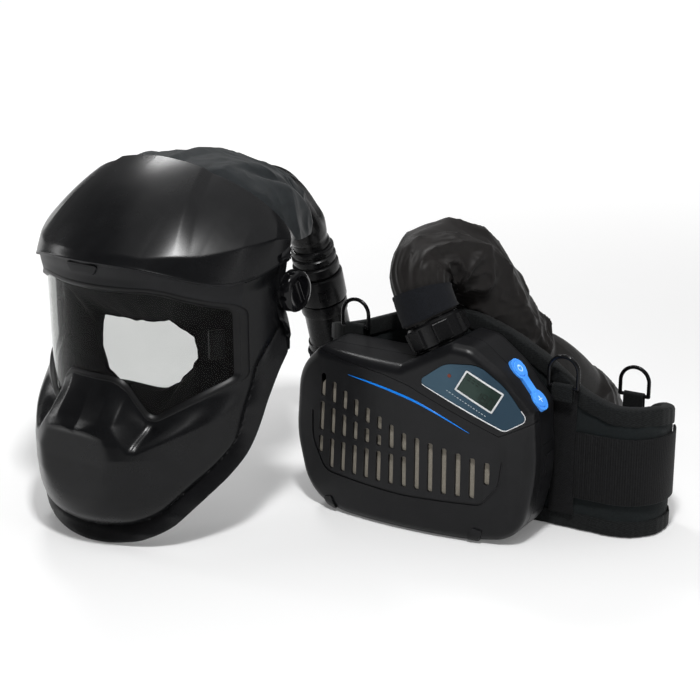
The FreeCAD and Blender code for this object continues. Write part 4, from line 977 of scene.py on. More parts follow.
def strip_on_window(name, profile, material, sharp=40.0):
    """A frame swept round the window; profile holds (outwards in the surface, out of it)."""
    line = resample(WINDOW, step=1.2, closed=True)
    ahead = np.roll(line, -1, axis=0) - np.roll(line, 1, axis=0)
    ahead /= np.linalg.norm(ahead, axis=1)[:, None]
    side = np.stack([ahead[:, 1], -ahead[:, 0]], 1)
    centre = line.mean(0)
    if ((line - centre) * side).sum() < 0:
        side = -side
    points = []
    for across, rise in profile:
        spot = line + side * across
        base, normal = plain(spot[:, 0], spot[:, 1])
        points.append(base + normal * rise)
    faces = grid_faces(len(profile), len(line), close_rows=True, close_columns=True)
    made = make_piece(name, np.concatenate(points), faces, material, HELMET, sharp)
    return recalculate(made)


def surface_patch(name, angles, heights, depth, thickness, material):
    """A curved pane parallel to the plain surface, `depth` inside it."""
    turn, level = np.meshgrid(np.radians(angles), heights)
    base, normal = plain(half_width(level) * np.sin(turn), level)
    outer = base - normal * depth
    inner = base - normal * (depth + thickness)
    rows, columns = turn.shape
    count = rows * columns
    faces = grid_faces(rows, columns)
    faces += [tuple(i + count for i in reversed(f)) for f in grid_faces(rows, columns)]
    border = ([k for k in range(columns)] + [i * columns + columns - 1 for i in range(1, rows)]
              + [(rows - 1) * columns + k for k in range(columns - 2, -1, -1)]
              + [i * columns for i in range(rows - 2, 0, -1)])
    for a, b in zip(border, border[1:] + border[:1]):
        faces.append((b, a, a + count, b + count))
    points = np.concatenate([outer.reshape(-1, 3), inner.reshape(-1, 3)])
    return recalculate(make_piece(name, points, faces, material, HELMET, 40))


# x, height, depth
FACE_OPENING = [(-8, 171, -47), (18, 174, -47), (28, 178, -47), (37, 172, -47), (55, 166, -46),
                (57, 146, -46), (45, 131, -46), (34, 121, -46), (18, 110, -46), (0, 103, -46),
                (-16, 100, -46), (-28, 108, -46), (-46, 118, -46), (-53, 136, -46),
                (-53, 158, -46), (-48, 170, -47), (-30, 171, -47)]


OPENING_EASING = 12
SEAL_COLUMNS = 360
SEAL_ROWS = 40


def make_face_seal():
    """Cloth seal: from the window frame back to an uneven elastic opening round the face."""
    columns = SEAL_COLUMNS
    outline = resample(WINDOW, count=columns, closed=True)
    top = int(np.argmin(np.abs(outline[:, 0]) + (outline[:, 1] < 180) * 1000))
    outline = np.roll(outline, -top, axis=0)
    if outline[5, 0] < 0:
        outline = np.roll(outline[::-1], 1, axis=0)
    opening = np.array(FACE_OPENING, float)
    opening = resample(np.array([(x, y, z) for x, z, y in opening]), count=columns, closed=True)
    for _ in range(OPENING_EASING):
        opening = (np.roll(opening, 1, axis=0) + opening + np.roll(opening, -1, axis=0)) / 3
    centre = np.array([0.0, 165.0])
    rows = SEAL_ROWS
    points = []
    turns = np.arange(columns) / columns * 2 * math.pi
    scallop = 0.8 * np.sin(turns * 13 + 1.3 * np.sin(turns * 3)) + 0.3 * np.sin(turns * 29)
    for i in range(rows):
        t = i / (rows - 1)
        grown = centre + (outline - centre) * (1.035 - 0.10 * t)
        base, normal = plain(grown[:, 0], grown[:, 1])
        start = base - normal * (6.0 + 6 * t)
        ease = float(smooth_step(np.array(t))) * 0.55 + 0.45 * t
        spot = start * (1 - ease) + opening * ease
        pull = np.exp(-((t - 1) / 0.16) ** 2)
        ripple = 0.9 * np.sin(turns * 23 + 5 * t) * math.sin(math.pi * t) + scallop * pull
        toward = spot - np.array([0, -60, 160.0])
        toward /= np.linalg.norm(toward, axis=1)[:, None]
        points.append(spot + toward * ripple[:, None] * 0.8)
    uv = np.array([(k * 1.2 * MM, i * 2 * MM) for i in range(rows) for k in range(columns)])
    made = make_piece("face_seal_cloth", np.concatenate(points),
                      grid_faces(rows, columns, close_columns=True), "seal", HELMET, 60, uv)
    recalculate(made)
    thicken(made, 1.0, 0.0, 60)
    hem = tube("seal_elastic", np.vstack([points[-1], points[-1][:2]]), 1.5, "seal", HELMET, 10,
               capped=False, sharp=60)
    return joined("face_seal_cloth", made, hem)


ride(make_helmet(), "visor", ["helmet_shell"])
FRAME_PROFILE = [(3.4, -0.6), (3.0, 0.25), (2.4, 0.5), (1.0, 0.5), (0.4, 0.25), (-1.9, -2.4),
                 (-2.3, -3.0), (-2.2, -3.1), (3.4, -3.1)]
ride(strip_on_window("window_frame", FRAME_PROFILE, "gasket"), "visor",
     ["lens_gasket"])
ride(surface_patch("visor_lens", np.linspace(-68, 68, 121), np.linspace(101, 221, 61),
                   LENS_DEPTH, LENS_THICK, "lens"), "visor", ["lens"])
SEAL = ride(make_face_seal(), "visor", ["face_seal"])
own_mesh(SEAL)


def make_latch():
    """The small trapezoid latch in the brow band."""
    outline = rounded_outline([(-17, 235.5, 1.5), (17, 235.5, 1.5), (12, 227.5, 2), (-12, 227.5, 2)],
                              0.8)
    layers = []
    for grow, out in ((0.0, -1.5), (0.0, 2.5), (-0.6, 3.1), (-5.0, 3.2)):
        centre = outline.mean(0)
        spot = centre + (outline - centre) * (1 + grow / 12)
        base, normal = plain(spot[:, 0], spot[:, 1])
        layers.append(base + normal * out)
    faces = grid_faces(len(layers), len(outline), close_columns=True)
    last = (len(layers) - 1) * len(outline)
    faces.append(tuple(range(len(outline))))
    faces.append(tuple(last + i for i in range(len(outline))))
    made = make_piece("brow_latch_key", np.concatenate(layers), faces, "shell_matte", HELMET, 30)
    return recalculate(made)


ride(make_latch(), "latch", ["brow_latch"])


def make_knob(name, base, axis, radius, deep):
    """A clamp knob: lobed skirt, domed face and a raised grip bar."""
    def lobes(t, r, along):
        if 2.5 < along < deep - 3 and r > radius - 3:
            return -1.4 * max(0.0, math.cos(9 * t)) ** 3
        return 0.0
    profile = [(0.0, 0), (radius - 1.5, 0), (radius, 1.2), (radius, 2.4)]
    profile += [(radius - 0.2, 2.6 + i * (deep - 6) / 6) for i in range(7)]
    profile += [(radius - 0.8, deep - 2.6), (radius - 2.0, deep - 1.2), (radius - 4, deep - 0.5),
                (radius - 5, deep - 1.2), (radius * 0.5, deep - 1.6), (0.0, deep - 1.6)]
    knob = lathe(name, profile, base, axis, "knob", HELMET, 144, lobes, 40)
    axis = Vector(axis)
    across = Vector((0, 0, 1)).rotation_difference(axis).to_matrix().to_4x4()
    turn = Matrix.Translation(Vector(base) + axis * (deep - 3)) @ across @ Matrix.Rotation(
        math.radians(25), 4, "Z")
    grip = soft_box(name + "_grip", (-radius * 0.6, -2.6, -1), (radius * 0.6, 2.6, 2.6), 1.2,
                    "knob", HELMET, 4, turn)
    return joined(name, knob, grip)


SEAT = 116.4
KNOB_RADIUS = 17.5
KNOB_DEEP = 12
for side_name, sense in (("right", 1), ("left", -1)):
    ride(make_knob("tilt_knob_" + side_name, (sense * SEAT, 0, PIVOT_HEIGHT), (sense, 0, 0),
                   KNOB_RADIUS, KNOB_DEEP),
         "knob_" + side_name, ["pivot_knob_" + side_name])

# ---------------------------------------------------------------- swept pieces
def swept(name, rails, material, matrix, sharp=50.0, capped=True):
    """A solid from rails that go round its section; its UVs are metres along and around."""
    rails = np.asarray(rails, float)
    count, length = rails.shape[:2]
    along = gap_along(rails[count // 2])
    around = gap_along(rails[:, length // 2])
    uv = np.array([(along[k] * MM, around[i] * MM) for i in range(count) for k in range(length)])
    faces = grid_faces(count, length, close_rows=True)
    if capped:
        faces.append(tuple(i * length for i in range(count)))
        faces.append(tuple(i * length + length - 1 for i in reversed(range(count))))
    return recalculate(make_piece(name, rails.reshape(-1, 3), faces, material, matrix, sharp, uv))


def table_curve(xs, ys, wanted):
    """A smooth curve through a table's points."""
    xs = np.asarray(xs, float)
    ys = np.asarray(ys, float)
    slope = np.gradient(ys, xs)
    i = np.clip(np.searchsorted(xs, wanted) - 1, 0, len(xs) - 2)
    run = xs[i + 1] - xs[i]
    t = (wanted - xs[i]) / run
    return ((2 * t ** 3 - 3 * t ** 2 + 1) * ys[i] + (t ** 3 - 2 * t ** 2 + t) * run * slope[i]
            + (3 * t ** 2 - 2 * t ** 3) * ys[i + 1] + (t ** 3 - t ** 2) * run * slope[i + 1])


# ---------------------------------------------------------------- hood, duct, connector
HOOD_ROWS = [(95, -24, 38, 240, 297), (95, -12, 36, 240, 305), (94, 20, 20, 236, 306),
             (84, 62, 10, 234, 298), (64, 100, 0, 232, 282), (42, 130, -4, 232, 264),
             (30, 148, -6, 232, 250)]


def make_hood():
    """The cloth cover over the head, with soft folds, a cross seam and a gathered end."""
    table = np.array(HOOD_ROWS, float)
    rows = 170
    columns = 170
    y_run = np.linspace(table[0, 1], table[-1, 1], rows)
    half, sag, low, top = [table_curve(table[:, 1], table[:, i], y_run)[:, None]
                           for i in (0, 2, 3, 4)]
    turn = np.radians(np.linspace(-90, 90, columns))[None]
    lift = np.maximum(0, np.cos(turn)) ** 0.8
    points = np.stack([half * np.sin(turn), y_run[:, None] + sag * (1 - np.cos(turn)),
                       low + (top - low) * lift], -1)
    out = np.stack([np.sin(turn) + 0 * half, 0.25 + 0 * half * turn, 0.3 + np.cos(turn) + 0 * half],
                   -1)
    out /= np.linalg.norm(out, axis=-1)[..., None]
    flat = points.reshape(-1, 3)
    back = smooth_step((y_run - 20) / 110)[:, None]
    long_folds = ridged(flat * (1.0, 0.32, 1.0), 0.020, 5.0).reshape(rows, columns) - 0.45
    cross_folds = ridged(flat * (0.8, 1.0, 0.5), 0.016, 17.0).reshape(rows, columns) - 0.45
    crumple = ridged(flat, 0.05, 31.0).reshape(rows, columns) - 0.45
    gathers = np.sin(turn * 21 + 2 * np.sin(turn * 3)) * smooth_step((y_run - 118) / 30)[:, None]
    seam = y_run[:, None] - 98 - 6 * np.sin(turn) ** 2
    stitched = -1.3 * np.exp(-(seam / 1.6) ** 2) + 0.9 * np.exp(-((seam + 4) / 3) ** 2)
    front = smooth_step((y_run - table[0, 1]) / 16)[:, None]
    height = (long_folds * (3.5 + 3.5 * back) + cross_folds * 4.5 * (1 - 0.4 * back)
              + crumple * (0.8 + 1.3 * back)) * front + gathers * 1.7 + stitched
    pleat = np.exp(-((np.degrees(turn) - 44 - 0.35 * (y_run[:, None] - 40)) / 5) ** 2)
    height = height - 4.0 * pleat * np.exp(-((y_run[:, None] - 52) / 34) ** 2)
    points = points + out * (height - 1.5)[..., None]
    uv = np.array([(x * MM, y * MM) for x, y in zip(
        (np.degrees(turn) * 1.6 + 0 * half).ravel(), (y_run[:, None] + 0 * turn).ravel())])
    made = make_piece("hood_cloth", points.reshape(-1, 3), grid_faces(rows, columns), "hood",
                      HELMET, 60, uv)
    mesh = made.data
    if sum(p.normal.z for p in mesh.polygons) < 0:
        mesh.flip_normals()
    thicken(made, 1.2, -1.0, 60)
    hem = tube("hood_elastic", points[-1], 2.2, "hood", HELMET, 12, sharp=60)
    return joined("hood_cloth", made, hem)


HOOD = make_hood()
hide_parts("head_cover")
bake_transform(HOOD)


def make_duct():
    """Soft lengthwise-ribbed duct from under the hood down to the connector."""
    route = np.array([(0, 96, 262), (0, 112, 260.5), (0, 128, 257), (0, 144, 249.5),
                      (0, 158, 237.5), (0, 169, 225), (0, 178, 212), (0, 184, 201.5),
                      (0, 189.4, 191.8)], float)
    along = gap_along(route)
    wanted = np.linspace(0, along[-1], 110)
    path = np.stack([table_curve(along, route[:, i], wanted) for i in range(3)], 1)
    turns = np.linspace(0, 2 * math.pi, 96, endpoint=False)
    share = wanted / wanted[-1]
    swelling = 1.8 * np.exp(-((share - 0.80) / 0.09) ** 2) - 1.2 * np.exp(-((share - 0.95) / 0.03) ** 2)
    ribs = 0.9 * np.cos(9 * turns)[None] * (1 - smooth_step((share - 0.7) / 0.2))[:, None]
    table = 18.6 + swelling[:, None] + ribs
    made = tube("duct_tube", path, table, "duct", HELMET, 96, sharp=60)
    stay = soft_box("duct_stay", (-9, 100.4, 219), (9, 103.4, 252), 1.0, "harness", HELMET)
    return joined("duct_tube", made, stay)


ride(make_duct(), "root", ["air_duct"])
CONNECTOR_TOP = Vector((0, 190, 190))
CONNECTOR_END = Vector((0, 224, 84))
CONNECTOR_AXIS = (CONNECTOR_END - CONNECTOR_TOP).normalized()


def make_connector():
    """The stacked rings and barrel that take the hose."""
    profile = [(16.5, 0), (19.5, 0), (20.6, 0.4), (21, 1.2), (21, 4.5), (20.4, 5.4), (19.4, 6.2),
               (19.4, 8.2), (20.6, 8.8), (21.4, 9.6), (21.6, 12), (21.2, 14.2), (20.2, 15),
               (19.6, 15.6), (19.6, 17), (21, 17.5), (22.3, 18.4), (22.5, 20), (22.5, 25),
               (22.1, 26.6), (21, 27.6), (20.4, 28.4), (20.4, 58), (22.6, 58.6), (23, 59.6),
               (23, 69), (22.6, 70.4), (21.2, 71.6), (21, 73), (21, 102), (21.4, 103), (22.8, 104),
               (23, 105), (23, 110.5), (22.4, 111.3), (16.5, 111.3)]
    return lathe("connector_barrel", profile, CONNECTOR_TOP, CONNECTOR_AXIS, "duct", HELMET, 120,
                 sharp=28)


ride(make_connector(), "root", ["hose_connector"])


def make_lock_ring():
    """The connector's turning ring with a small raised frame as its mark."""
    profile = [(20.8, 30), (23.2, 30), (23.8, 30.3), (24, 31), (24, 55.8), (23.7, 56.6), (23, 57),
               (20.8, 57)]
    ring = lathe("lock_ring_body", profile, CONNECTOR_TOP, CONNECTOR_AXIS, "duct", HELMET, 120,
                 sharp=28)
    facing = Vector((0.62, -0.78, 0))
    facing = (facing - CONNECTOR_AXIS * facing.dot(CONNECTOR_AXIS)).normalized()
    across = CONNECTOR_AXIS.cross(facing)
    turn = Matrix((across, CONNECTOR_AXIS, facing)).transposed().to_4x4()
    turn = Matrix.Translation(CONNECTOR_TOP + CONNECTOR_AXIS * 45 + facing * 23.4) @ turn
    bars = []
    for low, high in (((-3.4, -5, 0), (-2.4, 5, 1)), ((2.4, -5, 0), (3.4, 5, 1)),
                      ((-3.4, -5, 0), (3.4, -4, 1)), ((-1.2, 3.4, 0), (1.2, 4.4, 1))):
        bars.append(soft_box("lock_mark", low, high, 0.25, "ring_wire", HELMET, 2, turn))
    return joined("lock_ring_body", ring, *bars)


ride(make_lock_ring(), "lock_ring", ["connector_ring"])


# ---------------------------------------------------------------- harness pads
def head_band(name, half_wide, half_long, low, tall, start, end, thick):
    """A puffed pad inside the headband; angles run from the forehead."""
    turns = np.radians(np.linspace(start, end, 140))
    section = []
    for k in range(20):
        t = 2 * math.pi * k / 20
        c, s = math.cos(t), math.sin(t)
        section.append((0.5 + 0.5 * math.copysign(abs(c) ** 0.45, c),
                        0.5 + 0.5 * math.copysign(abs(s) ** 0.28, s)))
    swell = 1 + 0.10 * np.sin(turns * 26)
    rails = []
    for across, rise in section:
        depth = thick * (1 - (1 - across) * swell)
        rails.append(np.stack([(half_wide + depth) * np.sin(turns),
                               6 - (half_long + depth) * np.cos(turns),
                               low + tall * rise + 0 * turns], 1))
    return swept(name, rails, "foam", HELMET, 60)


SWEATBAND = ride(head_band("brow_pad", 72.8, 86.8, 202, 24, -70, 70, 5), "root",
                 ["sweatband"])
REAR_PAD = ride(head_band("nape_pad", 72.8, 86.8, 198, 26, 145, 215, 5), "root",
                ["rear_pad"])

# ---------------------------------------------------------------- belt
BELT_LEFT = -122.0
BELT_RIGHT = 190.0
BELT_FRONT = 37.0
BELT_BACK = 104.0
BELT_HALF = 4.5
BELT_STEPS = 420
BELT_EASING = 21
BELT_TURN = (BELT_BACK - BELT_FRONT) / 2
RUN_START = 58.5
RUN_TURN = math.pi * BELT_TURN
RUN_FRONT = 245.0
RUN_END = 18.5
BELT_LENGTH = RUN_START + RUN_TURN + RUN_FRONT + RUN_TURN + RUN_END
PAD_SHARES = [0.0, 0.06, 0.16, 0.24, 0.32, 0.38, 0.45, 0.485, 0.53, 0.60, 0.66, 0.72, 0.77, 0.84,
              0.94, 1.0]
PAD_TOPS = [62, 96, 128, 140, 151, 163, 176, 178, 176, 163, 146, 122, 113, 112, 100, 62]


def belt_spots(distance, offset):
    """Plan points of the belt at distances along it, and `offset` outside its middle."""
    d = np.asarray(distance, float)
    middle_y = (BELT_FRONT + BELT_BACK) / 2
    left_x = BELT_LEFT + BELT_TURN
    right_x = BELT_RIGHT - BELT_TURN
    radius = BELT_TURN + offset
    first = np.stack([left_x + RUN_START - d, BELT_BACK + offset + 0 * d], -1)
    t = math.pi / 2 + np.clip((d - RUN_START) / BELT_TURN, 0, math.pi)
    second = np.stack([left_x + radius * np.cos(t), middle_y + radius * np.sin(t)], -1)
    e = d - RUN_START - RUN_TURN
    third = np.stack([left_x + e, BELT_FRONT - offset + 0 * d], -1)
    f = e - RUN_FRONT
    t = -math.pi / 2 + np.clip(f / BELT_TURN, 0, math.pi)
    fourth = np.stack([right_x + radius * np.cos(t), middle_y + radius * np.sin(t)], -1)
    g = f - RUN_TURN
    fifth = np.stack([right_x - g, BELT_BACK + offset + 0 * d], -1)
    parts = np.where((d < RUN_START)[..., None], first, second)
    parts = np.where((e > 0)[..., None], third, parts)
    parts = np.where((f > 0)[..., None], fourth, parts)
    return np.where((g > 0)[..., None], fifth, parts)


def pad_top(distance):
    """Height of the pad's upper edge."""
    return np.interp(distance / BELT_LENGTH, PAD_SHARES, PAD_TOPS)


def pad_edge():
    """Distances along the belt and the pad's eased upper edge at each."""
    distances = np.linspace(0, BELT_LENGTH, BELT_STEPS)
    return distances, softer(pad_top(distances), BELT_EASING)


def belt_rails(distances, section):
    """Rails along the belt; the section holds (offset, height) arrays or numbers."""
    rails = []
    for offset, height in section:
        plan = belt_spots(distances, offset)
        rails.append(np.column_stack([plan, height + 0 * distances]))
    return rails


def make_pad():
    """The felt pad, slightly puffed between its bound edges."""
    distances, top = pad_edge()
    rows = 56
    section = []
    for side in (1, -1):
        levels = np.linspace(0, 1, rows) if side > 0 else np.linspace(1, 0, rows)
        for level in levels:
            edge = min(level, 1 - level) * 100
            press = 1 - 0.55 * math.exp(-edge / 5)
            spots = np.column_stack([distances, level * top + 0 * distances, 40.0 * side
                                     + 0 * distances])
            waves = 0.9 * fractal(spots, 0.022, 3, 6.0) + 0.35 * fractal(spots, 0.09, 2, 2.0)
            offset = side * (BELT_HALF * press + 0.5 * press + waves * press)
            section.append((offset, 0.6 + (top - 1.2) * level))
    return swept("belt_felt_pad", belt_rails(distances, section), "felt", BLOWER, 60)


PAD = ride(make_pad(), "root", ["belt_pad"])
U_SECTION = [(5.0, -14.0), (5.7, -13.6), (5.9, -12.4), (5.9, -7), (5.8, -1.2), (5.2, 0.2), (3.6, 0.9),
             (0, 1.1), (-3.6, 0.9), (-5.2, 0.2), (-5.8, -1.2), (-5.9, -7), (-5.9, -12.4),
             (-5.7, -13.6), (-5.0, -14.0), (-4.9, -12.6), (-4.9, -1.2), (-3.2, -0.1), (0, 0.1),
             (3.2, -0.1), (4.9, -1.2), (4.9, -12.6)]


def make_binding():
    """Woven tape folded over the pad's upper, lower and end edges."""
    distances, top = pad_edge()
    ripple = 0.18 * np.sin(distances * 0.9) + 0.25 * np.sin(distances * 0.31 + 1)
    upper = [(offset + np.sign(offset) * ripple, top + rise) for offset, rise in U_SECTION]
    lower = [(offset + np.sign(offset) * ripple, np.maximum(0.35, 1.3 - rise) + 0 * distances)
             for offset, rise in U_SECTION]
    pieces = [swept("binding_upper", belt_rails(distances, upper), "binding", BLOWER, 60),
              swept("binding_lower", belt_rails(distances, lower), "binding", BLOWER, 60)]
    for name, end, sense in (("binding_start", 0.0, 1), ("binding_end", BELT_LENGTH, -1)):
        tall = float(pad_top(np.array(end)))
        levels = np.linspace(0.5, tall, 40)
        rails = []
        for offset, rise in U_SECTION:
            plan = belt_spots(np.array([end - sense * (rise + 0.3)]), offset)[0]
            rails.append(np.column_stack([plan[0] + 0 * levels, plan[1] + 0 * levels, levels]))
        pieces.append(swept(name, rails, "binding", BLOWER, 60))
    return joined("belt_binding_tape", *pieces)


ride(make_binding(), "root", ["belt_binding"])


def flat_section(middle_offset, half, low, high):
    """Section of a flat strap with eased edges."""
    return [(middle_offset + half, low + 0.7), (middle_offset + half, (low + high) / 2),
            (middle_offset + half, high - 0.7), (middle_offset + half * 0.5, high),
            (middle_offset - half * 0.5, high), (middle_offset - half, high - 0.7),
            (middle_offset - half, (low + high) / 2), (middle_offset - half, low + 0.7),
            (middle_offset - half * 0.5, low), (middle_offset + half * 0.5, low)]


def make_elastic():
    """The elastic band round the belt's right end, ribbed on its first half."""
    distances = np.linspace(0.715, 0.90, 400) * BELT_LENGTH
    ribs = 0.32 * np.maximum(0, np.sin(distances * 2 * math.pi / 3.4))
    ribs = ribs * (1 - smooth_step((distances / BELT_LENGTH - 0.80) / 0.02))
    section = []
    for offset, height in flat_section(6.9, 1.1, 30, 88):
        lift = ribs if offset > 6.9 else 0
        section.append((offset + lift, height))
    return swept("elastic_strip", belt_rails(distances, section), "elastic", BLOWER, 60)


ride(make_elastic(), "root", ["elastic_band"])


STRAP_Y = 112.45
STRAP_HALF = 1.25
STRAP_LOW = 36
STRAP_HIGH = 84
STRAP_BOW = 0.6


def straight_strap(name, start, end):
    """A woven strap along X behind the pad, with a slight bow."""
    run = np.linspace(start, end, 60)
    wave = STRAP_BOW * np.sin((run - start) / (end - start) * math.pi)
    rails = [np.column_stack([run, STRAP_Y + offset + wave, height + 0 * run])
             for offset, height in flat_section(0, STRAP_HALF, STRAP_LOW, STRAP_HIGH)]
    return swept(name, rails, "webbing", BLOWER, 60)


for strap, strap_from, strap_to, body, stands_for in (
        ("waist_strap", -100, 2, "root", "belt_webbing"),
        ("waist_strap_tail", 62, 142, "buckle", "strap_tail")):
    ride(straight_strap(strap, strap_from, strap_to), body, [stands_for])
FRONT_FACE = BELT_FRONT - BELT_HALF - 1.2
BACK_FACE = BELT_BACK + BELT_HALF + 1.2


def make_ring_strap():
    """The narrow strap up the pad's front below the middle ring."""
    run = np.linspace(14, 122, 70)
    rails = [np.column_stack([106 + height + 0 * run, FRONT_FACE - 1.4 + offset
                              + 0.2 * np.sin(run * 0.25), run])
             for offset, height in flat_section(0, 1.1, 0, 22)]
    return swept("ring_tape", rails, "webbing", BLOWER, 60)


ride(make_ring_strap(), "root", ["ring_strap"])


def make_loops():
    """Tape loops that hold the rings' bars."""
    loops = []
    for x, y, z in ((-84, FRONT_FACE - 3.0, 149), (117, FRONT_FACE - 5.6, 127),
                    (146, BACK_FACE + 3.0, 100)):
        run = np.linspace(-9, 9, 8)
        section = [(2.8, -12)] + [(2.8 * math.cos(t), 2.8 * math.sin(t))
                                  for t in np.linspace(0, math.pi, 14)] + [(-2.8, -12)]
        section += [(-1.9, -12)] + [(-2.05 * math.cos(t), 2.05 * math.sin(t))
                                    for t in np.linspace(0, math.pi, 14)] + [(1.9, -12)]
        rails = [np.column_stack([x + run, y + across + 0 * run, z + rise + 0 * run])
                 for across, rise in section]
        loops.append(swept("ring_loop", rails, "binding", BLOWER, 40))
    return joined("ring_loop_tapes", *loops)


ride(make_loops(), "root", ["ring_loops"])


# ---------------------------------------------------------------- marks on the blower
def face_y(x, out):
    """The casing's domed front at x, `out` in front of it."""
    return -45 + 360 - np.sqrt(360 ** 2 - np.asarray(x, float) ** 2) - out


def ribbon(name, line, widths, out, material, deep=0.5):
    """A raised strip on the casing's front along (x, z) points."""
    line = np.asarray(line, float)
    ahead = np.gradient(line, axis=0)
    ahead /= np.linalg.norm(ahead, axis=1)[:, None]
    side = np.stack([-ahead[:, 1], ahead[:, 0]], 1) * np.asarray(widths)[:, None] / 2
    rails = []
    for grow, lift in ((1, 0), (0.7, out), (-0.7, out), (-1, 0), (-1, -deep), (1, -deep)):
        spot = line + side * grow
        rails.append(np.column_stack([spot[:, 0], face_y(spot[:, 0], lift), spot[:, 1]]))
    return swept(name, rails, material, BLOWER, 40)


def make_accent():
    """The tapering blue arc over the grille."""
    run = np.linspace(-50, 64, 90)
    height = table_curve([-50, -30, -7, 19, 41, 64], [128.5, 126.3, 122.6, 116.0, 107.2, 96.4], run)
    share = np.linspace(0, 1, 90)
    widths = 0.15 + 1.9 * np.sin(math.pi * share ** 0.9) ** 0.8
    return ribbon("accent_arc", np.column_stack([run, height]), widths, 0.25, "arc_blue", 0.2)


ride(make_accent(), "cover")


def make_label_edge_highlight():
    """A pale strip along the label's lower side: a painted highlight on its edge."""
    outline = rounded_outline([(18, 135, 4), (42, 153, 22), (70, 155, 22), (92, 138, 60),
                               (110, 112, 5), (92, 101, 6)], 1.0)
    outline = resample(outline, step=0.8, closed=True)
    low = int(np.argmin(np.abs(outline - np.array([20, 133])).sum(1)))
    outline = np.roll(outline, -low, axis=0)
    if outline[8, 1] > outline[0, 1]:
        outline = np.roll(outline[::-1], 1, axis=0)
    stretch = outline[:int(len(outline) * 0.5)]
    grow = stretch + (stretch - np.array([66, 128])) * 0.012
    widths = 0.9 * np.sin(np.linspace(0.05, math.pi - 0.05, len(grow))) ** 0.4
    # The pale strip is a painted highlight, drawn in the bezel's light grey.
    return ribbon("label_edge_highlight", grow, widths, 0.3, "bezel", 0.3)


ride(make_label_edge_highlight(), "root")
SEGMENTS = {"1": "bc", "8": "abcdefg", "0": "abcdef"}
STROKES = {"a": ((0, 1), (1, 1)), "b": ((1, 1), (1, 0.5)), "c": ((1, 0.5), (1, 0)),
           "d": ((0, 0), (1, 0)), "e": ((0, 0), (0, 0.5)), "f": ((0, 0.5), (0, 1)),
           "g": ((0, 0.5), (1, 0.5))}
LCD_MID = np.array([71, 132.5])
LCD_TURN = math.radians(-29)


def stroke_boxes(name, strokes, width, out, material):
    """Thin raised bars between pairs of points on the display's plane."""
    along = np.array([math.cos(LCD_TURN), math.sin(LCD_TURN)])
    upward = np.array([-along[1], along[0]])
    points = []
    faces = []
    for (u0, v0), (u1, v1) in strokes:
        a = LCD_MID + along * u0 + upward * v0
        b = LCD_MID + along * u1 + upward * v1
        ahead = (b - a) / np.linalg.norm(b - a)
        side = np.array([-ahead[1], ahead[0]]) * width / 2
        a = a + ahead * width * 0.35
        b = b - ahead * width * 0.35
        start = len(points)
        for depth in (out, out - 0.15):
            for spot in (a - side, b - side, b + side, a + side):
                points.append((spot[0], float(face_y(spot[0], depth)), spot[1]))
        for face in ((0, 1, 2, 3), (7, 6, 5, 4), (0, 4, 5, 1), (1, 5, 6, 2), (2, 6, 7, 3),
                     (3, 7, 4, 0)):
            faces.append(tuple(start + i for i in face))
    return recalculate(make_piece(name, points, faces, material, BLOWER, 30))


def make_digits():
    """Digits and two small icons on the display."""
    strokes = []
    for place_at, digit in ((-1.5, "1"), (4.2, "8"), (10.0, "0")):
        for key in SEGMENTS[digit]:
            (u0, v0), (u1, v1) = STROKES[key]
            strokes.append(((place_at + 3.9 * u0, -6.6 + 7.4 * v0),
                            (place_at + 3.9 * u1, -6.6 + 7.4 * v1)))
    for u in (-13.5, -9.5, -5.5):
        strokes.append(((u, 3.6), (u + 3, 3.6)))
        strokes.append(((u, 5.8), (u + 3, 5.8)))
    return stroke_boxes("display_digits", strokes, 0.75, -0.28, "ink")


def make_label_ticks():
    """A row of plain printed dashes under the display."""
    strokes = []
    at = -23.0
    for k in range(15):
        long_tick = (1.3, 2.1, 1.7)[k % 3]
        strokes.append(((at, -14.6), (at + long_tick, -14.6)))
        at += long_tick + 0.9
    return stroke_boxes("label_ticks", strokes, 0.55, -0.1, "print")


ride(make_digits(), "root")
ride(make_label_ticks(), "root")
KEY_TOP = Vector((28, 0, 23)).normalized()
KEY_ALONG = Vector((23, 0, -28)).normalized()
KEY_MID = Vector((100, -5, 134.8))


def key_turn(shift):
    """Placement on a key's top, in blower millimetres."""
    across = KEY_TOP.cross(KEY_ALONG)
    turn = Matrix((KEY_ALONG, across, KEY_TOP)).transposed().to_4x4()
    return Matrix.Translation(KEY_MID + KEY_ALONG * shift + KEY_TOP * 1.5) @ turn


def make_power_mark():
    """A ring and a tick on the upper key."""
    ring = lathe("power_mark", [(2.4, 0), (3.1, 0), (3.1, 0.3), (2.4, 0.3)],
                 KEY_MID + KEY_ALONG * -15 + KEY_TOP * 1.5, KEY_TOP, "key_mark", BLOWER, 48)
    tick = soft_box("power_tick", (-3.6, -0.4, 0), (-1.2, 0.4, 0.35), 0.12, "key_mark", BLOWER, 2,
                    key_turn(-15))
    return joined("power_mark", ring, tick)


def make_flow_mark():
    """A plain cross on the lower key."""
    first = soft_box("flow_mark", (-3, -0.45, 0), (3, 0.45, 0.35), 0.12, "key_mark", BLOWER, 2,
                     key_turn(15))
    second = soft_box("flow_bar", (-0.45, -3, 0), (0.45, 3, 0.35), 0.12, "key_mark", BLOWER, 2,
                      key_turn(15))
    return joined("flow_mark", first, second)


ride(make_power_mark(), "power_key")
ride(make_flow_mark(), "flow_key")

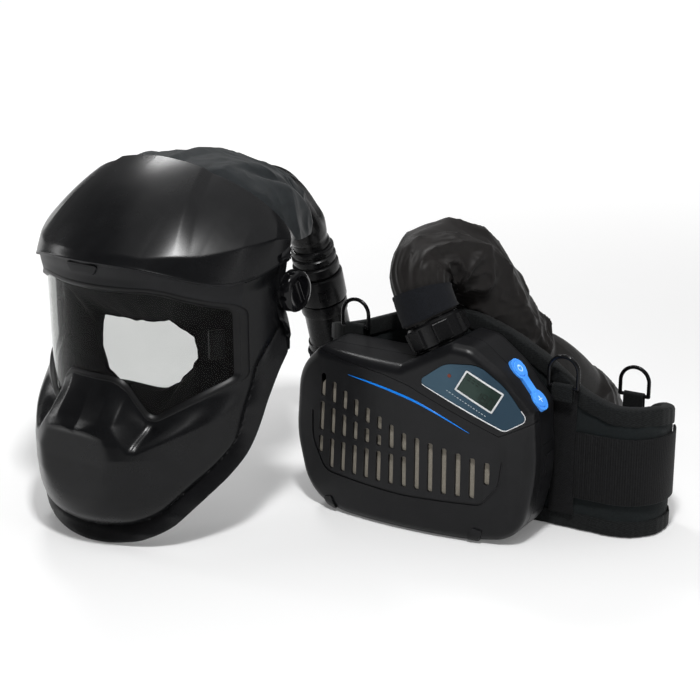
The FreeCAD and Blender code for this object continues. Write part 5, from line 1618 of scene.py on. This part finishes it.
# ---------------------------------------------------------------- finishes of the CAD nodes
FINISH = {
    "shell_matte": ["lens_clips"], "harness": ["headband", "crown_straps", "side_arms",
                                               "ratchet_housing"],
    "knob": ["ratchet_knob"], "steel": ["pivot_bolts", "pivot_washers", "casing_screws", "motor"],
    "duct": ["outlet_collar", "outlet_spigot"],
    "casing": ["front_cover", "upper_casing", "rear_casing", "cover_clips", "battery",
               "battery_latch", "belt_bracket"],
    "label": ["control_label"], "bezel": ["lcd_bezel"], "display": ["lcd"], "lamp": ["status_led"],
    "key_blue": ["keypad", "power_button", "flow_button"],
    "filter": ["prefilter", "hepa_filter"], "rubber": ["filter_seal"],
    "fan": ["fan_housing", "impeller"], "board": ["circuit_board"],
    "ring_wire": ["ring_left", "ring_middle", "ring_right"],
    "buckle": ["buckle_socket", "buckle_plug", "strap_slider"],
}
for key, names in FINISH.items():
    for name in names:
        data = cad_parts[name].data
        data.materials.clear()
        data.materials.append(MATERIALS[key])


# ---------------------------------------------------------------- stage and light
FLOOR_HALF = 30
GLOW_RANGE = {"From Min": 0.45, "From Max": 2.2, "To Min": 0.12, "To Max": 0.68}
# name, place, aim, width, height, power
LAMPS = [("key", (0.42, -0.62, 1.55), (-0.12, -0.05, 0.25), 0.15, 0.24, 19),
         ("back", (-1.0, 0.75, 1.35), (-0.13, 0, 0.28), 0.34, 0.34, 8),
         ("right", (1.5, -0.4, 0.6), (-0.05, 0, 0.15), 0.2, 0.8, 1.5),
         ("left", (-1.5, -0.3, 0.6), (-0.15, 0, 0.2), 0.15, 0.8, 3)]


def make_stage():
    """Pale floor that glows more away from the object, a soft overhead sun and four lamps."""
    mesh = bpy.data.meshes.new("floor")
    corners = [(x * FLOOR_HALF, y * FLOOR_HALF, 0) for x, y in ((-1, -1), (1, -1), (1, 1), (-1, 1))]
    mesh.from_pydata(corners, [], [(0, 1, 2, 3)])
    floor = new_object("floor", mesh)
    material, tree, shader = new_material("floor")
    settings(shader, Base_Color=(0.80, 0.80, 0.80, 1), Roughness=0.7, Specular_IOR_Level=0.2,
             Emission_Color=(1, 1, 1, 1))
    coords = node(tree, "TexCoord")
    reach = node(tree, "VectorMath", operation="LENGTH")
    spread = node(tree, "MapRange", interpolation_type="SMOOTHSTEP")
    for key, value in GLOW_RANGE.items():
        spread.inputs[key].default_value = value
    tree.links.new(coords.outputs["Object"], reach.inputs[0])
    tree.links.new(reach.outputs["Value"], spread.inputs["Value"])
    tree.links.new(spread.outputs["Result"], shader.inputs["Emission Strength"])
    mesh.materials.append(material)
    world = bpy.data.worlds.new("studio")
    world.use_nodes = True
    settings(world.node_tree.nodes["Background"], Color=(1, 1, 1, 1), Strength=0.13)
    bpy.context.scene.world = world
    sun = bpy.data.lights.new("overhead", "SUN")
    sun.energy = 0.95
    sun.angle = math.radians(80)
    new_object("overhead", sun).rotation_euler = (math.radians(-12), math.radians(8), 0)
    for name, spot, aim, wide, tall, power in LAMPS:
        data = bpy.data.lights.new(name, "AREA")
        data.shape = "RECTANGLE"
        data.size = wide
        data.size_y = tall
        data.energy = power
        lamp = new_object(name, data)
        lamp.location = spot
        lamp.rotation_mode = "QUATERNION"
        lamp.rotation_quaternion = (Vector(aim) - Vector(spot)).to_track_quat("-Z", "Y")
    bpy.context.scene.view_settings.view_transform = "Standard"


make_stage()
